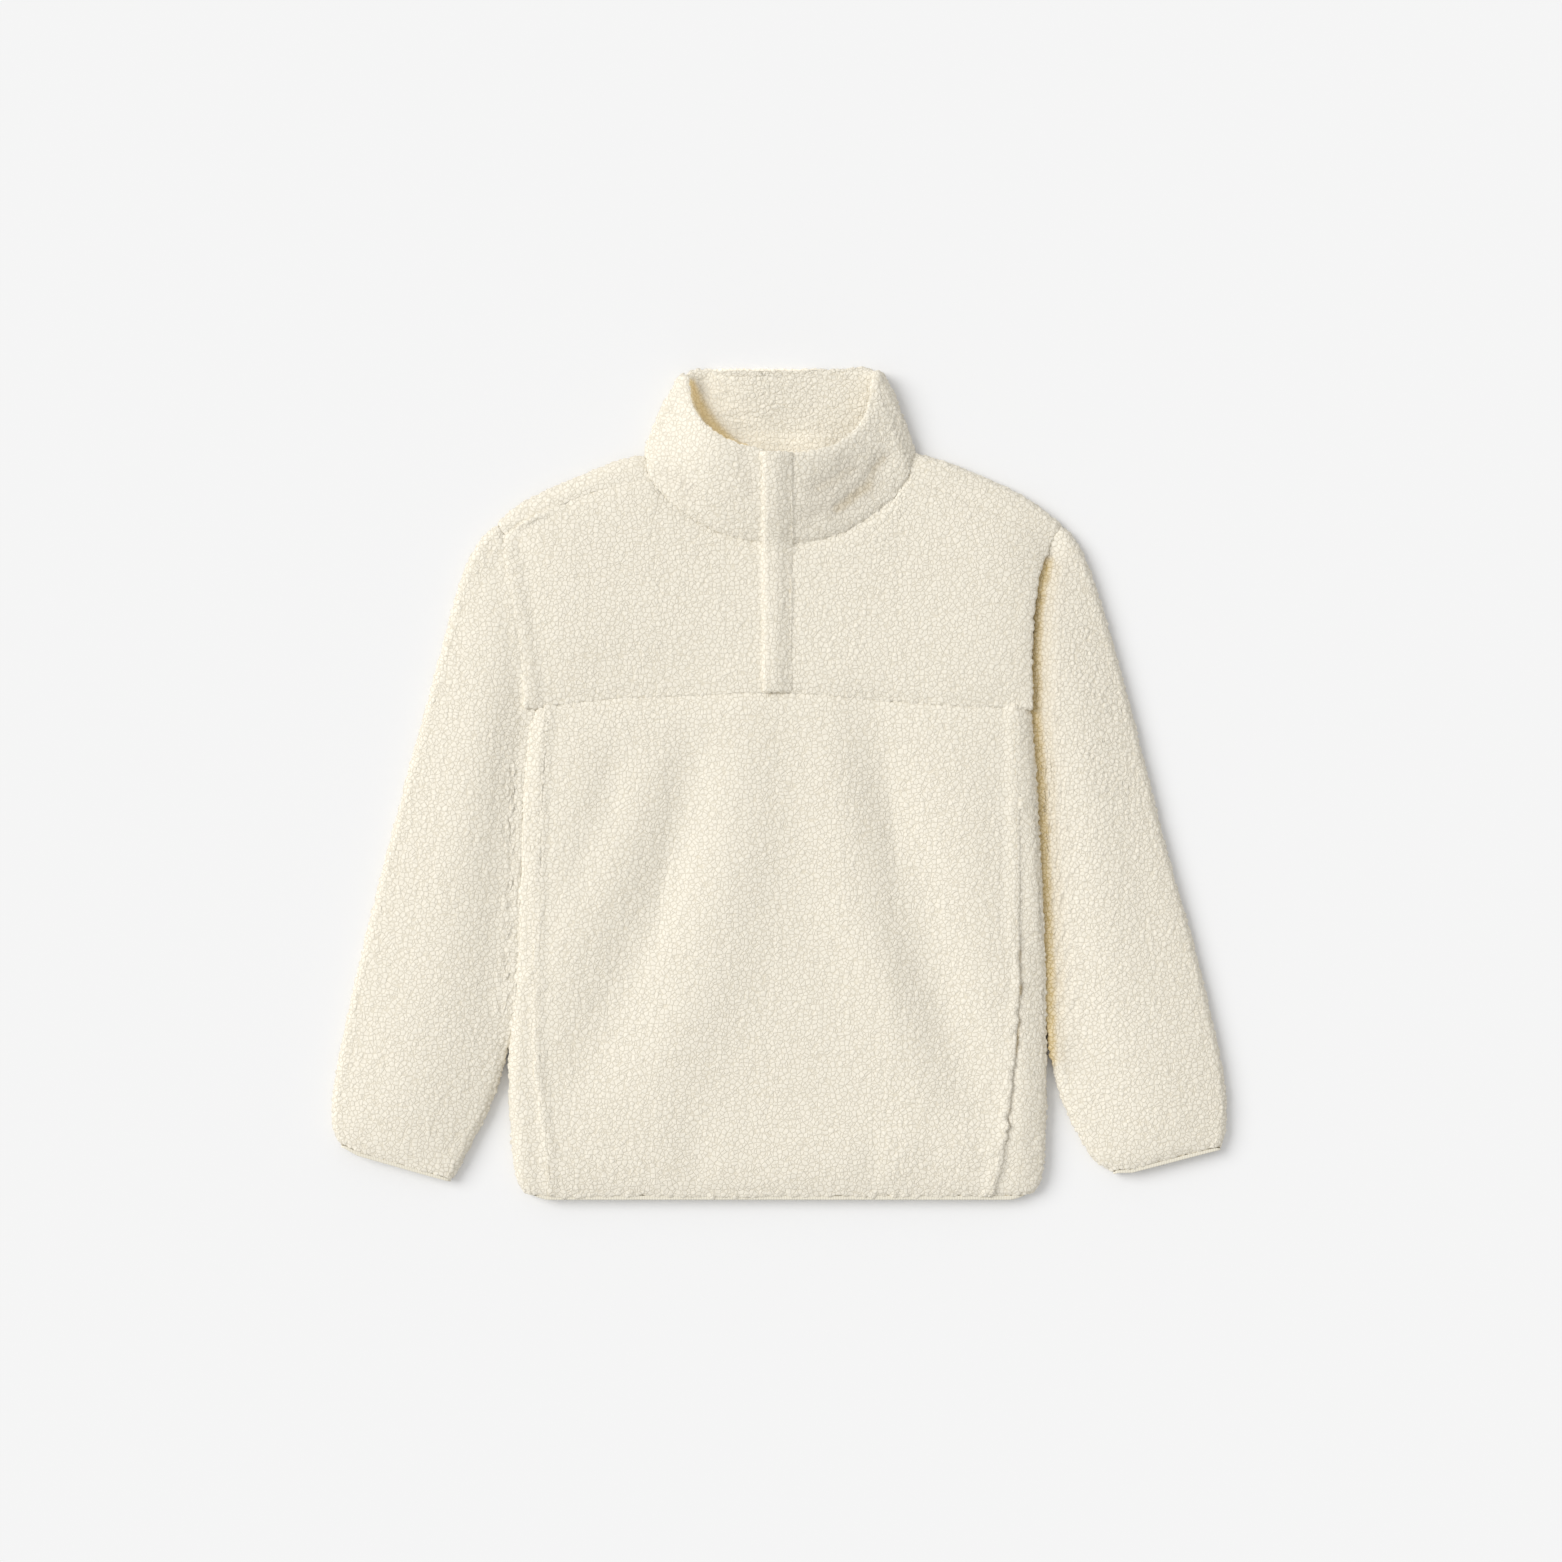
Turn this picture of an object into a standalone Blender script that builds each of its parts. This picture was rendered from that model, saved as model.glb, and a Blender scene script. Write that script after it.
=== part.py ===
"""A sherpa fleece pullover with a stand collar, lying flat on its back, built from its cut pieces.

Plan sizes are in millimetres: x runs to the wearer's left, y towards the collar, and z up from the
surface that the garment lies on. The meshes are written in metres. Every piece is a wall of cloth:
a grid of points in the middle of its thickness, moved out by half the thickness to each side.
"""

from collections import namedtuple

import bpy
import numpy as np

# ---------------------------------------------------------------- driving dimensions, millimetres
CLOTH = 6.0            # fleece with its pile
BINDING = 2.4          # elastic binding on the hem and cuffs
PLACKET = 4.0          # folded covering strip
SEAM = 0.3             # between two pieces at a seam
LAYER_GAP = 2.0        # air between the back and the front where they lie together
LIP = 2.0              # how far the outer side drops at a sewn edge
LOFT = 8.0             # how far the front lifts in the middle of the body
SLEEVE_LOFT = 9.0      # how far a sleeve's front arches up between its edges
HEAD_RUN = 40.0        # how fast the lift dies away towards a sleeve's armhole
CUFF_RUN = 26.0        # and towards its cuff
TOP_RUN = 13.0         # and towards the shoulders
HEM_RUN = 17.0         # and towards the hem
EDGE_BAND = 24.0       # how far in from the body's sides their own lift, EDGE_LIFT, is felt
SEAM_DIP = 1.6         # valley along the chest seam
SEAM_DIP_WIDTH = 9.0
RIM_HEIGHT = 43.0      # middle of the wall at the collar's open front edge
COLLAR_TURN_HIGH = 20.0
COLLAR_BULGE = 4.0
ARMHOLE_BLEND = 30.0   # stretch above the underarm over which the side's turn opens into the sleeve
BINDING_WIDTH = 4.0
PLACKET_LEFT = 12.0
PLACKET_RIGHT = -15.0
CENTRE = -1.5          # where the two halves of the front meet under the placket
TURN_STEPS = 5         # faces round a folded edge
TURN_CLEAR = 0.85      # more room where a seam goes round a folded edge
TINY = 1e-9            # keeps the direction of unused points from dividing by nought
FLAT_ENOUGH = 0.85     # a sewn edge steeper than this keeps its slant
SLEEVE_TWIST = 0.12    # share of the sleeve over which its turns swing square to its edges
SLEEVE_BOW = 0.3       # share of the sleeve over which the armhole's curve straightens
COLLAR_TWIST = 0.25    # share of the collar's height over which its turns swing to face its sides
COLLAR_CORNER = 0.5    # how far they swing again at its top corners

LOW = CLOTH / 2                          # middle of the layer that lies on the surface
HIGH = CLOTH * 1.5 + LAYER_GAP           # middle of the layer on top of it
TURN_REACH = (HIGH - LOW) / 2 + CLOTH / 2   # from a turned edge to where its layers end

HEM_Y = -374.0
UNDERARM_Y = 70.0

# ---------------------------------------------------------------- tables
SideRow = namedtuple("SideRow", "y fold seam")
RIGHT_SIDE = (
    SideRow(y=-380, fold=-213, seam=-198),
    SideRow(y=-374, fold=-227, seam=-208),
    SideRow(y=-367, fold=-237, seam=-209),
    SideRow(y=-355, fold=-241, seam=-210),
    SideRow(y=-324, fold=-243, seam=-212),
    SideRow(y=-280, fold=-246, seam=-217),
    SideRow(y=-236, fold=-245, seam=-221),
    SideRow(y=-160, fold=-240, seam=-220),
    SideRow(y=-80, fold=-237, seam=-219),
    SideRow(y=0, fold=-235, seam=-217),
    SideRow(y=70, fold=-226, seam=-211),
)
LEFT_SIDE = (
    SideRow(y=-380, fold=213, seam=181),
    SideRow(y=-374, fold=227, seam=191),
    SideRow(y=-367, fold=237, seam=194),
    SideRow(y=-355, fold=241, seam=198),
    SideRow(y=-324, fold=242, seam=203),
    SideRow(y=-280, fold=243, seam=208),
    SideRow(y=-236, fold=243, seam=213),
    SideRow(y=-160, fold=242, seam=215),
    SideRow(y=-80, fold=238, seam=216),
    SideRow(y=0, fold=234, seam=216),
    SideRow(y=70, fold=229, seam=214),
)

# The body's sides are plump, and lie over the sleeves.
EdgeLift = namedtuple("EdgeLift", "y lift")
EDGE_LIFT = (
    EdgeLift(y=-374, lift=0), EdgeLift(y=-362, lift=3), EdgeLift(y=-340, lift=6),
    EdgeLift(y=30, lift=6), EdgeLift(y=90, lift=4.5), EdgeLift(y=165, lift=4.5), EdgeLift(y=222, lift=0),
)

SeamRow = namedtuple("SeamRow", "x y")
CHEST_SEAM = (
    SeamRow(x=-226, y=70), SeamRow(x=-210, y=71.5), SeamRow(x=-162, y=78), SeamRow(x=-117, y=80),
    SeamRow(x=-69, y=81.5), SeamRow(x=-14, y=84), SeamRow(x=41, y=82), SeamRow(x=90, y=77),
    SeamRow(x=145, y=73), SeamRow(x=192, y=71), SeamRow(x=229, y=70),
)

# Plan curves, each from the centre or the neck outwards. The shoulder's fold is its outline, and
# the seam lies forward of it.
Shoulder = namedtuple("Shoulder", "fold seam")
RIGHT_SHOULDER = Shoulder(
    fold=((-121, 300), (-146, 296), (-178, 281), (-214, 267), (-241, 252), (-257, 238)),
    seam=((-119, 278), (-148, 271), (-176, 263), (-198, 254), (-234, 235), (-250, 226)),
)
LEFT_SHOULDER = Shoulder(
    fold=((121, 302), (150, 294), (180, 282), (212, 268), (241, 250), (258, 236)),
    seam=((119, 279), (150, 265), (178, 253), (204, 242), (235, 228), (249, 224)),
)
RIGHT_ARMHOLE = ((-226, 70), (-229, 114), (-237, 158), (-245, 203))
LEFT_ARMHOLE = ((229, 70), (229, 118), (231, 159), (239, 203))

RIGHT_NECK = ((CENTRE, 217), (-41, 222), (-73, 236), (-100, 255), (-119, 278))
LEFT_NECK = ((CENTRE, 217), (46, 222), (76, 237), (101, 256), (119, 279))
BACK_NECK_DIP = 7.0

RIGHT_RIM = ((CENTRE, 299), (-20, 302), (-41, 309), (-59, 318), (-73, 332), (-81, 350), (-85, 369))
LEFT_RIM = ((CENTRE, 299), (30, 300), (55, 309), (72, 323), (81, 338), (86, 354), (88, 368))
COLLAR_TOP = ((-85, 369), (-78, 375), (-60, 377.5), (0, 377.5), (64, 377.5), (81, 375), (88, 368))

# The top end of the right sleeve is as high as the body's edge beside it (head = 1).
Sleeve = namedtuple("Sleeve", "outer inner head")
RIGHT_SLEEVE = Sleeve(
    outer=((-272, 223), (-283, 205), (-303, 136), (-328, 45), (-353, -47),
           (-376, -138), (-397, -229), (-406, -275), (-409, -305), (-405, -331)),
    inner=((-227.5, 71), (-231, 45), (-236, 0), (-238, -80), (-241, -160),
           (-246, -232), (-260, -286), (-284, -333), (-297, -360)),
    head=1,
)
LEFT_SLEEVE = Sleeve(
    outer=((272, 220), (284, 192), (304, 126), (330, 30), (350, -51),
           (378, -149), (401, -245), (407, -275), (409, -305), (404, -331)),
    inner=((231.2, 71), (232.5, 45), (235.2, 0), (239, -80), (243, -160),
           (244.8, -232), (256, -284), (279, -331), (300, -358)),
    head=0,
)

# Soft folds of the front and sleeves: a ridge where the height is above nought, else a trough.
Fold = namedtuple("Fold", "start bend end height width")
FOLDS = (
    Fold(start=(-195, 96), bend=(-120, 100), end=(-45, 106), height=-3.6, width=24),
    Fold(start=(-172, 30), bend=(-188, -20), end=(-198, -80), height=2.2, width=12),
    Fold(start=(-140, 35), bend=(-158, -25), end=(-180, -100), height=-4.2, width=12),
    Fold(start=(-116, 20), bend=(-150, -70), end=(-208, -190), height=4.0, width=15),
    Fold(start=(-76, 30), bend=(-95, -125), end=(-196, -285), height=-6.6, width=19),
    Fold(start=(-30, 65), bend=(-30, -130), end=(-130, -315), height=5.4, width=34),
    Fold(start=(45, 65), bend=(55, -120), end=(138, -290), height=4.4, width=28),
    Fold(start=(84, 65), bend=(112, -110), end=(185, -295), height=-6.4, width=21),
    Fold(start=(128, -170), bend=(150, -240), end=(195, -320), height=-3.6, width=15),
    Fold(start=(150, 55), bend=(175, -60), end=(192, -200), height=3.0, width=26),
    Fold(start=(0, -340), bend=(110, -336), end=(225, -322), height=4.5, width=17),
    Fold(start=(-78, -310), bend=(-76, -345), end=(-80, -370), height=-3.2, width=9),
    Fold(start=(84, -318), bend=(86, -348), end=(82, -370), height=-3.4, width=9),
    Fold(start=(142, -312), bend=(146, -345), end=(140, -370), height=-3.4, width=9),
    Fold(start=(-268, 150), bend=(-310, -20), end=(-350, -230), height=-1.8, width=20),
    Fold(start=(-275, 60), bend=(-290, -60), end=(-300, -200), height=1.6, width=18),
    Fold(start=(300, 60), bend=(322, -90), end=(350, -250), height=-2.4, width=18),
)

# ---------------------------------------------------------------- grid lines shared along seams
SHOULDER_LINES = (0, 0.05, 0.24, 0.43, 0.62, 0.81, 0.96, 1)
NECK_LINES = (0, 0.04, 0.2, 0.36, 0.52, 0.68, 0.84, 0.96, 1)
ARMHOLE_LINES = (0, 0.04, 0.16, 0.32, 0.48, 0.64, 0.8, 0.96, 1)
BACK_NECK_LINES = (0, 0.06, 0.15, 0.32, 0.5, 0.68, 0.85, 0.94, 1)
LENGTH_LINES = (0, 0.013) + tuple(np.linspace(0.05, 0.95, 17)) + (0.987, 1)
STRIP_LINES = (0, 0.5, 1)
HEM_LINES = tuple(np.linspace(0, 1, 19))
SLEEVE_LINES = (0, 0.012, 0.045, 0.09) + tuple(np.linspace(0.16, 0.93, 10)) + (0.988, 1)
COLLAR_LINES = (0, 0.06, 0.22, 0.42, 0.62, 0.8, 0.94, 1)

Look = namedtuple("Look", "colour roughness")
FLEECE = Look(colour=(0.83, 0.78, 0.67, 1), roughness=0.95)
TAPE = Look(colour=(0.78, 0.73, 0.62, 1), roughness=0.8)


# ---------------------------------------------------------------- curves and heights
def along(points, fractions):
    """Points at fractions of the length of a smooth curve through the given points."""
    points = np.array(points, float)
    steps = np.linalg.norm(np.diff(points, axis=0), axis=1)
    knots = np.concatenate([[0], np.cumsum(steps)])
    slopes = np.gradient(points, knots, axis=0)
    fine = np.linspace(0, knots[-1], 24 * len(points))
    i = np.clip(np.searchsorted(knots, fine, side="right") - 1, 0, len(knots) - 2)
    span = (knots[i + 1] - knots[i])[:, None]
    u = (fine - knots[i])[:, None] / span
    curve = (
        (2 * u**3 - 3 * u**2 + 1) * points[i]
        + (u**3 - 2 * u**2 + u) * span * slopes[i]
        + (3 * u**2 - 2 * u**3) * points[i + 1]
        + (u**3 - u**2) * span * slopes[i + 1]
    )
    run = np.concatenate([[0], np.cumsum(np.linalg.norm(np.diff(curve, axis=0), axis=1))])
    at = np.array(fractions) * run[-1]
    return np.stack([np.interp(at, run, curve[:, k]) for k in range(curve.shape[1])], axis=1)


def read(table, column, by, at):
    """A column of a table at a value of another column, with straight runs between its rows."""
    keys = np.array([getattr(row, by) for row in table], float)
    values = np.array([getattr(row, column) for row in table], float)
    return np.interp(at, keys, values)


def unit(vector):
    vector = np.asarray(vector, float)
    return vector / np.linalg.norm(vector, axis=-1, keepdims=True)


def rise(distance, run):
    return 1 - np.exp(-np.maximum(distance, 0) / run)


def smooth_step(u):
    u = np.clip(u, 0, 1)
    return u * u * (3 - 2 * u)


def drape(x, y):
    """Height that the soft folds add at a place."""
    height = np.zeros(np.broadcast(x, y).shape)
    for fold in FOLDS:
        u = np.linspace(0, 1, 13)
        path = [
            (1 - u) ** 2 * fold.start[k] + 2 * u * (1 - u) * fold.bend[k] + u**2 * fold.end[k]
            for k in (0, 1)
        ]
        away = (x[..., None] - path[0]) ** 2 + (y[..., None] - path[1]) ** 2
        nearest = np.argmin(away, axis=-1)
        taper = 0.35 + 0.65 * np.sin(np.pi * u[nearest]) ** 0.7
        reach = np.exp(-np.min(away, axis=-1) / fold.width**2)
        height = height + fold.height * taper * reach
    return height


def armhole(side, fractions):
    """Plan points up the armhole, from the underarm to the front end of the shoulder seam."""
    return along(side.armhole + (side.shoulder.seam[-1],), fractions)


def body_edges(y):
    """The x of the body's two edges at a height: the armholes above the underarms."""
    edges = []
    for side in (RIGHT, LEFT):
        fold = read(side.rows, "fold", "y", y)
        seam = np.array(side.armhole + (side.shoulder.seam[-1], side.shoulder.fold[-1]))
        edges.append(np.where(y > UNDERARM_Y, np.interp(y, seam[:, 1], seam[:, 0]), fold))
    return edges


def side_reach(y):
    """How far in from the body's side fold its turn ends."""
    return TURN_REACH + read(EDGE_LIFT, "lift", "y", y) / 2


def front_height(x, y):
    """Middle of the front layer: low along its hem and shoulders, and lifted between them."""
    right, left = body_edges(y)
    turned = side_reach(y) * smooth_step((UNDERARM_Y + ARMHOLE_BLEND - y) / ARMHOLE_BLEND)
    from_side = np.maximum(np.minimum(x - right, left - x) - turned, 0)
    by_side = np.exp(-(from_side / EDGE_BAND) ** 2)
    outline = np.array(RIGHT_SHOULDER.fold[::-1] + LEFT_SHOULDER.fold)
    top = rise(np.interp(x, outline[:, 0], outline[:, 1]) - y - TURN_REACH, TOP_RUN)
    hem = rise(y - HEM_Y, HEM_RUN)
    seam = SEAM_DIP * np.exp(-((y - read(CHEST_SEAM, "y", "x", x)) / SEAM_DIP_WIDTH) ** 2)
    middle = np.maximum(LOFT + drape(x, y) - seam, 0) * top * hem
    return HIGH + by_side * read(EDGE_LIFT, "lift", "y", y) + (1 - by_side) * middle


def with_height(plan, height):
    return np.concatenate([plan, np.broadcast_to(height, plan.shape[:-1])[..., None]], axis=-1)


def turn(base, inward, low=LOW, high=HIGH):
    """Points of cloth that turns back over itself at an edge, from the lower layer to the upper.

    Both layers end over the plan point base, and inward points into the garment.
    """
    radius = (high - low) / 2
    angles = np.linspace(-np.pi / 2, np.pi / 2, TURN_STEPS + 1)
    plan = np.asarray(base) - np.cos(angles)[:, None] * radius * np.asarray(inward)
    return with_height(plan, (low + high) / 2 + np.sin(angles) * radius)


def patch(bottom, top, start, end, across, up):
    """A sheet of plan points between four curves (rows run from start to end)."""
    f = np.array(across)[None, :, None]
    g = np.array(up)[:, None, None]
    ruled = (1 - g) * bottom[None] + g * top[None] + (1 - f) * start[:, None] + f * end[:, None]
    corners = (1 - g) * ((1 - f) * bottom[0] + f * bottom[-1]) + g * (
        (1 - f) * top[0] + f * top[-1]
    )
    return ruled - corners


# The collar's rim climbs from its turn to the centre over a share rim_ramp of its front.
Side = namedtuple("Side", "sign rows shoulder armhole neck rim sleeve rim_ramp")
RIGHT = Side(-1, RIGHT_SIDE, RIGHT_SHOULDER, RIGHT_ARMHOLE, RIGHT_NECK, RIGHT_RIM, RIGHT_SLEEVE, 0.55)
LEFT = Side(1, LEFT_SIDE, LEFT_SHOULDER, LEFT_ARMHOLE, LEFT_NECK, LEFT_RIM, LEFT_SLEEVE, 0.95)


# ---------------------------------------------------------------- from a grid to a wall of cloth
def kept_quads(shape, keep, ring):
    """Corner numbers of each kept quad of a grid. A ring's last column meets its first."""
    rows, columns = shape
    quads = []
    for i in range(rows - 1):
        for j in range(columns if ring else columns - 1):
            if keep is None or keep[i, j]:
                k = (j + 1) % columns
                low, high = i * columns, (i + 1) * columns
                quads.append((low + j, low + k, high + k, high + j))
    return quads


def corner_normals(points, quads):
    normals = np.zeros_like(points)
    for quad in quads:
        a, b, c, d = points[list(quad)]
        for corner in quad:
            normals[corner] += np.cross(c - a, d - b)
    lengths = np.linalg.norm(normals, axis=1, keepdims=True)
    return normals / np.maximum(lengths, 1e-9)


def faces_out(points, normals, quads, hollow):
    """Whether the quads face out of a hollow piece, or up on a piece that is one layer."""
    used = sorted({p for quad in quads for p in quad})
    if not hollow:
        return normals[used, 2].sum() > 0
    return np.sum(normals[used] * (points[used] - points[used].mean(axis=0))) > 0


def rim_edges(quads):
    """Edges that have one quad, in that quad's direction."""
    edges = {(quad[n], quad[(n + 1) % 4]) for quad in quads for n in range(4)}
    return sorted(edge for edge in edges if edge[::-1] not in edges)


def draw_in(points, quads, rim, distance):
    """Moves the rim's points into the piece, so that it stops short of its neighbours."""
    links = {}
    for quad in quads:
        for n in range(4):
            links.setdefault(quad[n], set()).update((quad[(n + 1) % 4], quad[n - 1]))
    on_rim = {frozenset(edge) for edge in rim}
    moved = points.copy()
    for point in sorted({p for edge in rim for p in edge}):
        inner = [n for n in links[point] if frozenset((point, n)) not in on_rim]
        for other in sorted(inner or links[point]):
            moved[point] += unit(points[other] - points[point]) * distance[point]
    return moved


def wall(name, grid, thickness=CLOTH, keep=None, ring=False, hollow=False, lip=LIP, look=None):
    """Makes a closed wall of cloth round a grid of points in the middle of its thickness."""
    grid = np.asarray(grid, float)
    quads = kept_quads(grid.shape[:2], keep, ring)
    points = grid.reshape(-1, 3)
    if not faces_out(points, corner_normals(points, quads), quads, hollow):
        quads = [quad[::-1] for quad in quads]
    rim = rim_edges(quads)
    normals = corner_normals(points, quads)
    slanted = np.abs(normals[:, 2]) < FLAT_ENOUGH
    points = draw_in(points, quads, rim, SEAM / 2 + TURN_CLEAR * slanted)
    normals = corner_normals(points, quads)
    normals[points[:, 1] < HEM_Y + 1, 1] = 0
    normals = unit(normals + TINY)
    outward = np.full(len(points), thickness / 2)
    for point in sorted({p for edge in rim for p in edge}):
        if abs(normals[point, 2]) > FLAT_ENOUGH:
            normals[point] = (0, 0, np.sign(normals[point, 2]))
        if normals[point, 2] > -FLAT_ENOUGH:
            outward[point] -= lip
    outer = points + normals * outward[:, None]
    inner = points - normals * thickness / 2
    outer[:, 2] = np.maximum(outer[:, 2], 0)
    count = len(points)
    faces = quads + [tuple(count + p for p in quad[::-1]) for quad in quads]
    faces += [(b, a, count + a, count + b) for a, b in rim]
    used = sorted({p for face in faces for p in face})
    number = {p: n for n, p in enumerate(used)}
    vertices = np.concatenate([outer, inner])[used]
    return add_piece(name, vertices, [[number[p] for p in face] for face in faces], look or FLEECE)


def material(name, look):
    made = bpy.data.materials.new(name)
    made.use_nodes = True
    shader = made.node_tree.nodes["Principled BSDF"]
    shader.inputs["Base Color"].default_value = look.colour
    shader.inputs["Roughness"].default_value = look.roughness
    shader.inputs["Metallic"].default_value = 0
    made.diffuse_color = look.colour
    return made


def add_piece(name, vertices, faces, look):
    mesh = bpy.data.meshes.new(name)
    mesh.from_pydata([tuple(v) for v in vertices / 1000], [], faces)
    mesh.materials.append(material(name, look))
    mesh.shade_smooth()
    piece = bpy.data.objects.new(name, mesh)
    bpy.context.scene.collection.objects.link(piece)
    return piece


# ---------------------------------------------------------------- the back
def side_wrap(side, y):
    """The back's cloth at one side, from its lower layer round the edge to the side seam."""
    base = read(side.rows, "fold", "y", y) - side.sign * side_reach(y)
    seam = read(side.rows, "seam", "y", y)
    strip_x = base + (seam - base) * np.array(STRIP_LINES[1:])
    plan = np.stack([strip_x, np.full(len(strip_x), y)], axis=1)
    strip = with_height(plan, front_height(plan[:, 0], plan[:, 1]))
    high = HIGH + read(EDGE_LIFT, "lift", "y", y)
    return np.concatenate([turn((base, y), (-side.sign, 0), high=high), strip])


def shoulder_wrap(side, fraction):
    """The back's cloth over the shoulder, from its lower layer round the fold to the seam."""
    fold = along(side.shoulder.fold, [fraction])[0]
    seam = along(side.shoulder.seam, [fraction])[0]
    inward = unit(seam - fold)
    base = fold + inward * TURN_REACH
    plan = base + (seam - base) * np.array(STRIP_LINES[1:])[:, None]
    strip = with_height(plan, front_height(plan[:, 0], plan[:, 1]))
    return np.concatenate([turn(base, inward), strip])


def back_armhole(side):
    """Plan points up the back's armhole, from the underarm to the shoulder's turn."""
    top = shoulder_wrap(side, 1)[0, :2]
    return along(side.armhole + (tuple(top),), ARMHOLE_LINES)


def back_neck():
    """Plan points of the back's neck edge, from the right shoulder's turn to the left's."""
    start = shoulder_wrap(RIGHT, 0)[0, :2]
    end = shoulder_wrap(LEFT, 0)[0, :2]
    u = np.array(BACK_NECK_LINES)
    plan = start + (end - start) * u[:, None]
    plan[:, 1] -= BACK_NECK_DIP * np.sin(np.pi * u)
    return plan


def level_row(start_x, end_x, across, y):
    return np.stack([start_x + (end_x - start_x) * across, np.full(len(across), y)], axis=1)


def make_back():
    over_right = [shoulder_wrap(RIGHT, f) for f in SHOULDER_LINES[::-1]]
    over_left = [shoulder_wrap(LEFT, f) for f in SHOULDER_LINES]
    neck = with_height(back_neck(), LOW)
    over_neck = [np.repeat(point[None], len(over_left[0]), axis=0) for point in neck[1:-1]]
    over = np.array(over_right + over_neck + over_left)
    top = over[:, 0, :2]
    across = (top[:, 0] - top[0, 0]) / (top[-1, 0] - top[0, 0])

    lower = []
    for g in LENGTH_LINES:
        y = HEM_Y + (UNDERARM_Y - HEM_Y) * g
        right, left = side_wrap(RIGHT, y), side_wrap(LEFT, y)
        flat = with_height(level_row(right[0, 0], left[0, 0], across, y), LOW)
        lower.append(np.concatenate([right[:0:-1], flat, left[1:]]))

    right_edge, left_edge = back_armhole(RIGHT), back_armhole(LEFT)
    bottom = level_row(right_edge[0, 0], left_edge[0, 0], across, UNDERARM_Y)
    chest = with_height(patch(bottom, top, right_edge, left_edge, across, ARMHOLE_LINES), LOW)
    side_columns = len(side_wrap(RIGHT, UNDERARM_Y)) - 1
    unused = lower[-1][:side_columns], lower[-1][-side_columns:]
    middle = list(chest[1:]) + [over[:, n] for n in range(1, over.shape[1])]
    upper = [np.concatenate([unused[0], row, unused[1]]) for row in middle]

    grid = np.array(lower + upper)
    body_rows, chest_rows = len(lower) - 1, len(chest) - 1
    first, last = side_columns, grid.shape[1] - 1 - side_columns
    shoulder = len(SHOULDER_LINES) - 1
    keep = np.zeros((grid.shape[0] - 1, grid.shape[1] - 1), bool)
    keep[:body_rows] = True
    keep[body_rows:body_rows + chest_rows, first:last] = True
    keep[body_rows + chest_rows:, first:first + shoulder] = True
    keep[body_rows + chest_rows:, last - shoulder:last] = True
    return wall("back", grid, keep=keep, hollow=True)


# ---------------------------------------------------------------- the front
def yoke_across(side):
    """Shares of a yoke's width, from the centre to the armhole, with a line at the neck point."""
    neck_width = abs(side.neck[-1][0] - CENTRE)
    shoulder_width = abs(side.shoulder.seam[-1][0] - side.neck[-1][0])
    shoulder = neck_width + np.array(SHOULDER_LINES[1:]) * shoulder_width
    lines = np.concatenate([np.array(NECK_LINES) * neck_width, shoulder])
    return lines / lines[-1]


def chest_seam(side, across):
    x = CENTRE + (side.rows[-1].fold - CENTRE) * across
    return np.stack([x, read(CHEST_SEAM, "y", "x", x)], axis=1)


def make_yoke(side, name):
    across = yoke_across(side)
    bottom = chest_seam(side, across)
    neck = along(side.neck, NECK_LINES)
    top = np.concatenate([neck, along(side.shoulder.seam, SHOULDER_LINES)[1:]])
    centre = bottom[0] + (top[0] - bottom[0]) * np.array(ARMHOLE_LINES)[:, None]
    plan = patch(bottom, top, centre, armhole(side, ARMHOLE_LINES), across, ARMHOLE_LINES)
    return wall(name, with_height(plan, front_height(plan[..., 0], plan[..., 1])))


def front_lower_row(g):
    """Plan points across the front, a share g of the way from the hem to the chest seam."""
    seam = np.concatenate([
        chest_seam(RIGHT, yoke_across(RIGHT)[::-1]), chest_seam(LEFT, yoke_across(LEFT))[1:]
    ])
    across = (seam[:, 0] - seam[0, 0]) / (seam[-1, 0] - seam[0, 0])
    side_y = HEM_Y + (UNDERARM_Y - HEM_Y) * g
    row = level_row(*(read(side.rows, "seam", "y", side_y) for side in (RIGHT, LEFT)), across, side_y)
    row[:, 1] += (read(CHEST_SEAM, "y", "x", row[:, 0]) - UNDERARM_Y) * g
    return row


def make_front_lower():
    plan = np.array([front_lower_row(g) for g in LENGTH_LINES])
    return wall("front_lower", with_height(plan, front_height(plan[..., 0], plan[..., 1])))


# ---------------------------------------------------------------- the sleeves
def bowed(points):
    """Shares of a row's length at its points, and how far each bows off the straight line."""
    run = np.concatenate([[0], np.cumsum(np.linalg.norm(np.diff(points, axis=0), axis=1))])
    shares = run / run[-1]
    return shares, points - (points[0] + (points[-1] - points[0]) * shares[:, None])


def armhole_rows(side):
    """Plan rows of the sleeve's top end: up the back's armhole, and down the front's."""
    back = side.armhole + (tuple(shoulder_wrap(side, 1)[0, :2]),)
    run = np.linalg.norm(np.subtract(back[-1], back[0]))
    lines = TURN_REACH / run + (1 - TURN_REACH / run) * np.array(ARMHOLE_LINES)
    over = shoulder_wrap(side, 1)[TURN_STEPS:, :2]
    front = armhole(side, lines[::-1])
    return along(back, lines), np.concatenate([over, front[1:]])


def heading(curve, t, toward, first):
    """Direction into the sleeve from one of its edges: square to it, but along the seam at t=0."""
    ahead, behind = along(curve, [min(t + 0.02, 1), max(t - 0.02, 0)])
    tangent = unit(ahead - behind)
    square = np.array((tangent[1], -tangent[0]))
    square *= np.sign(np.dot(square, toward))
    turned = smooth_step(t / SLEEVE_TWIST)
    return unit((1 - turned) * first + turned * square)


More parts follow.
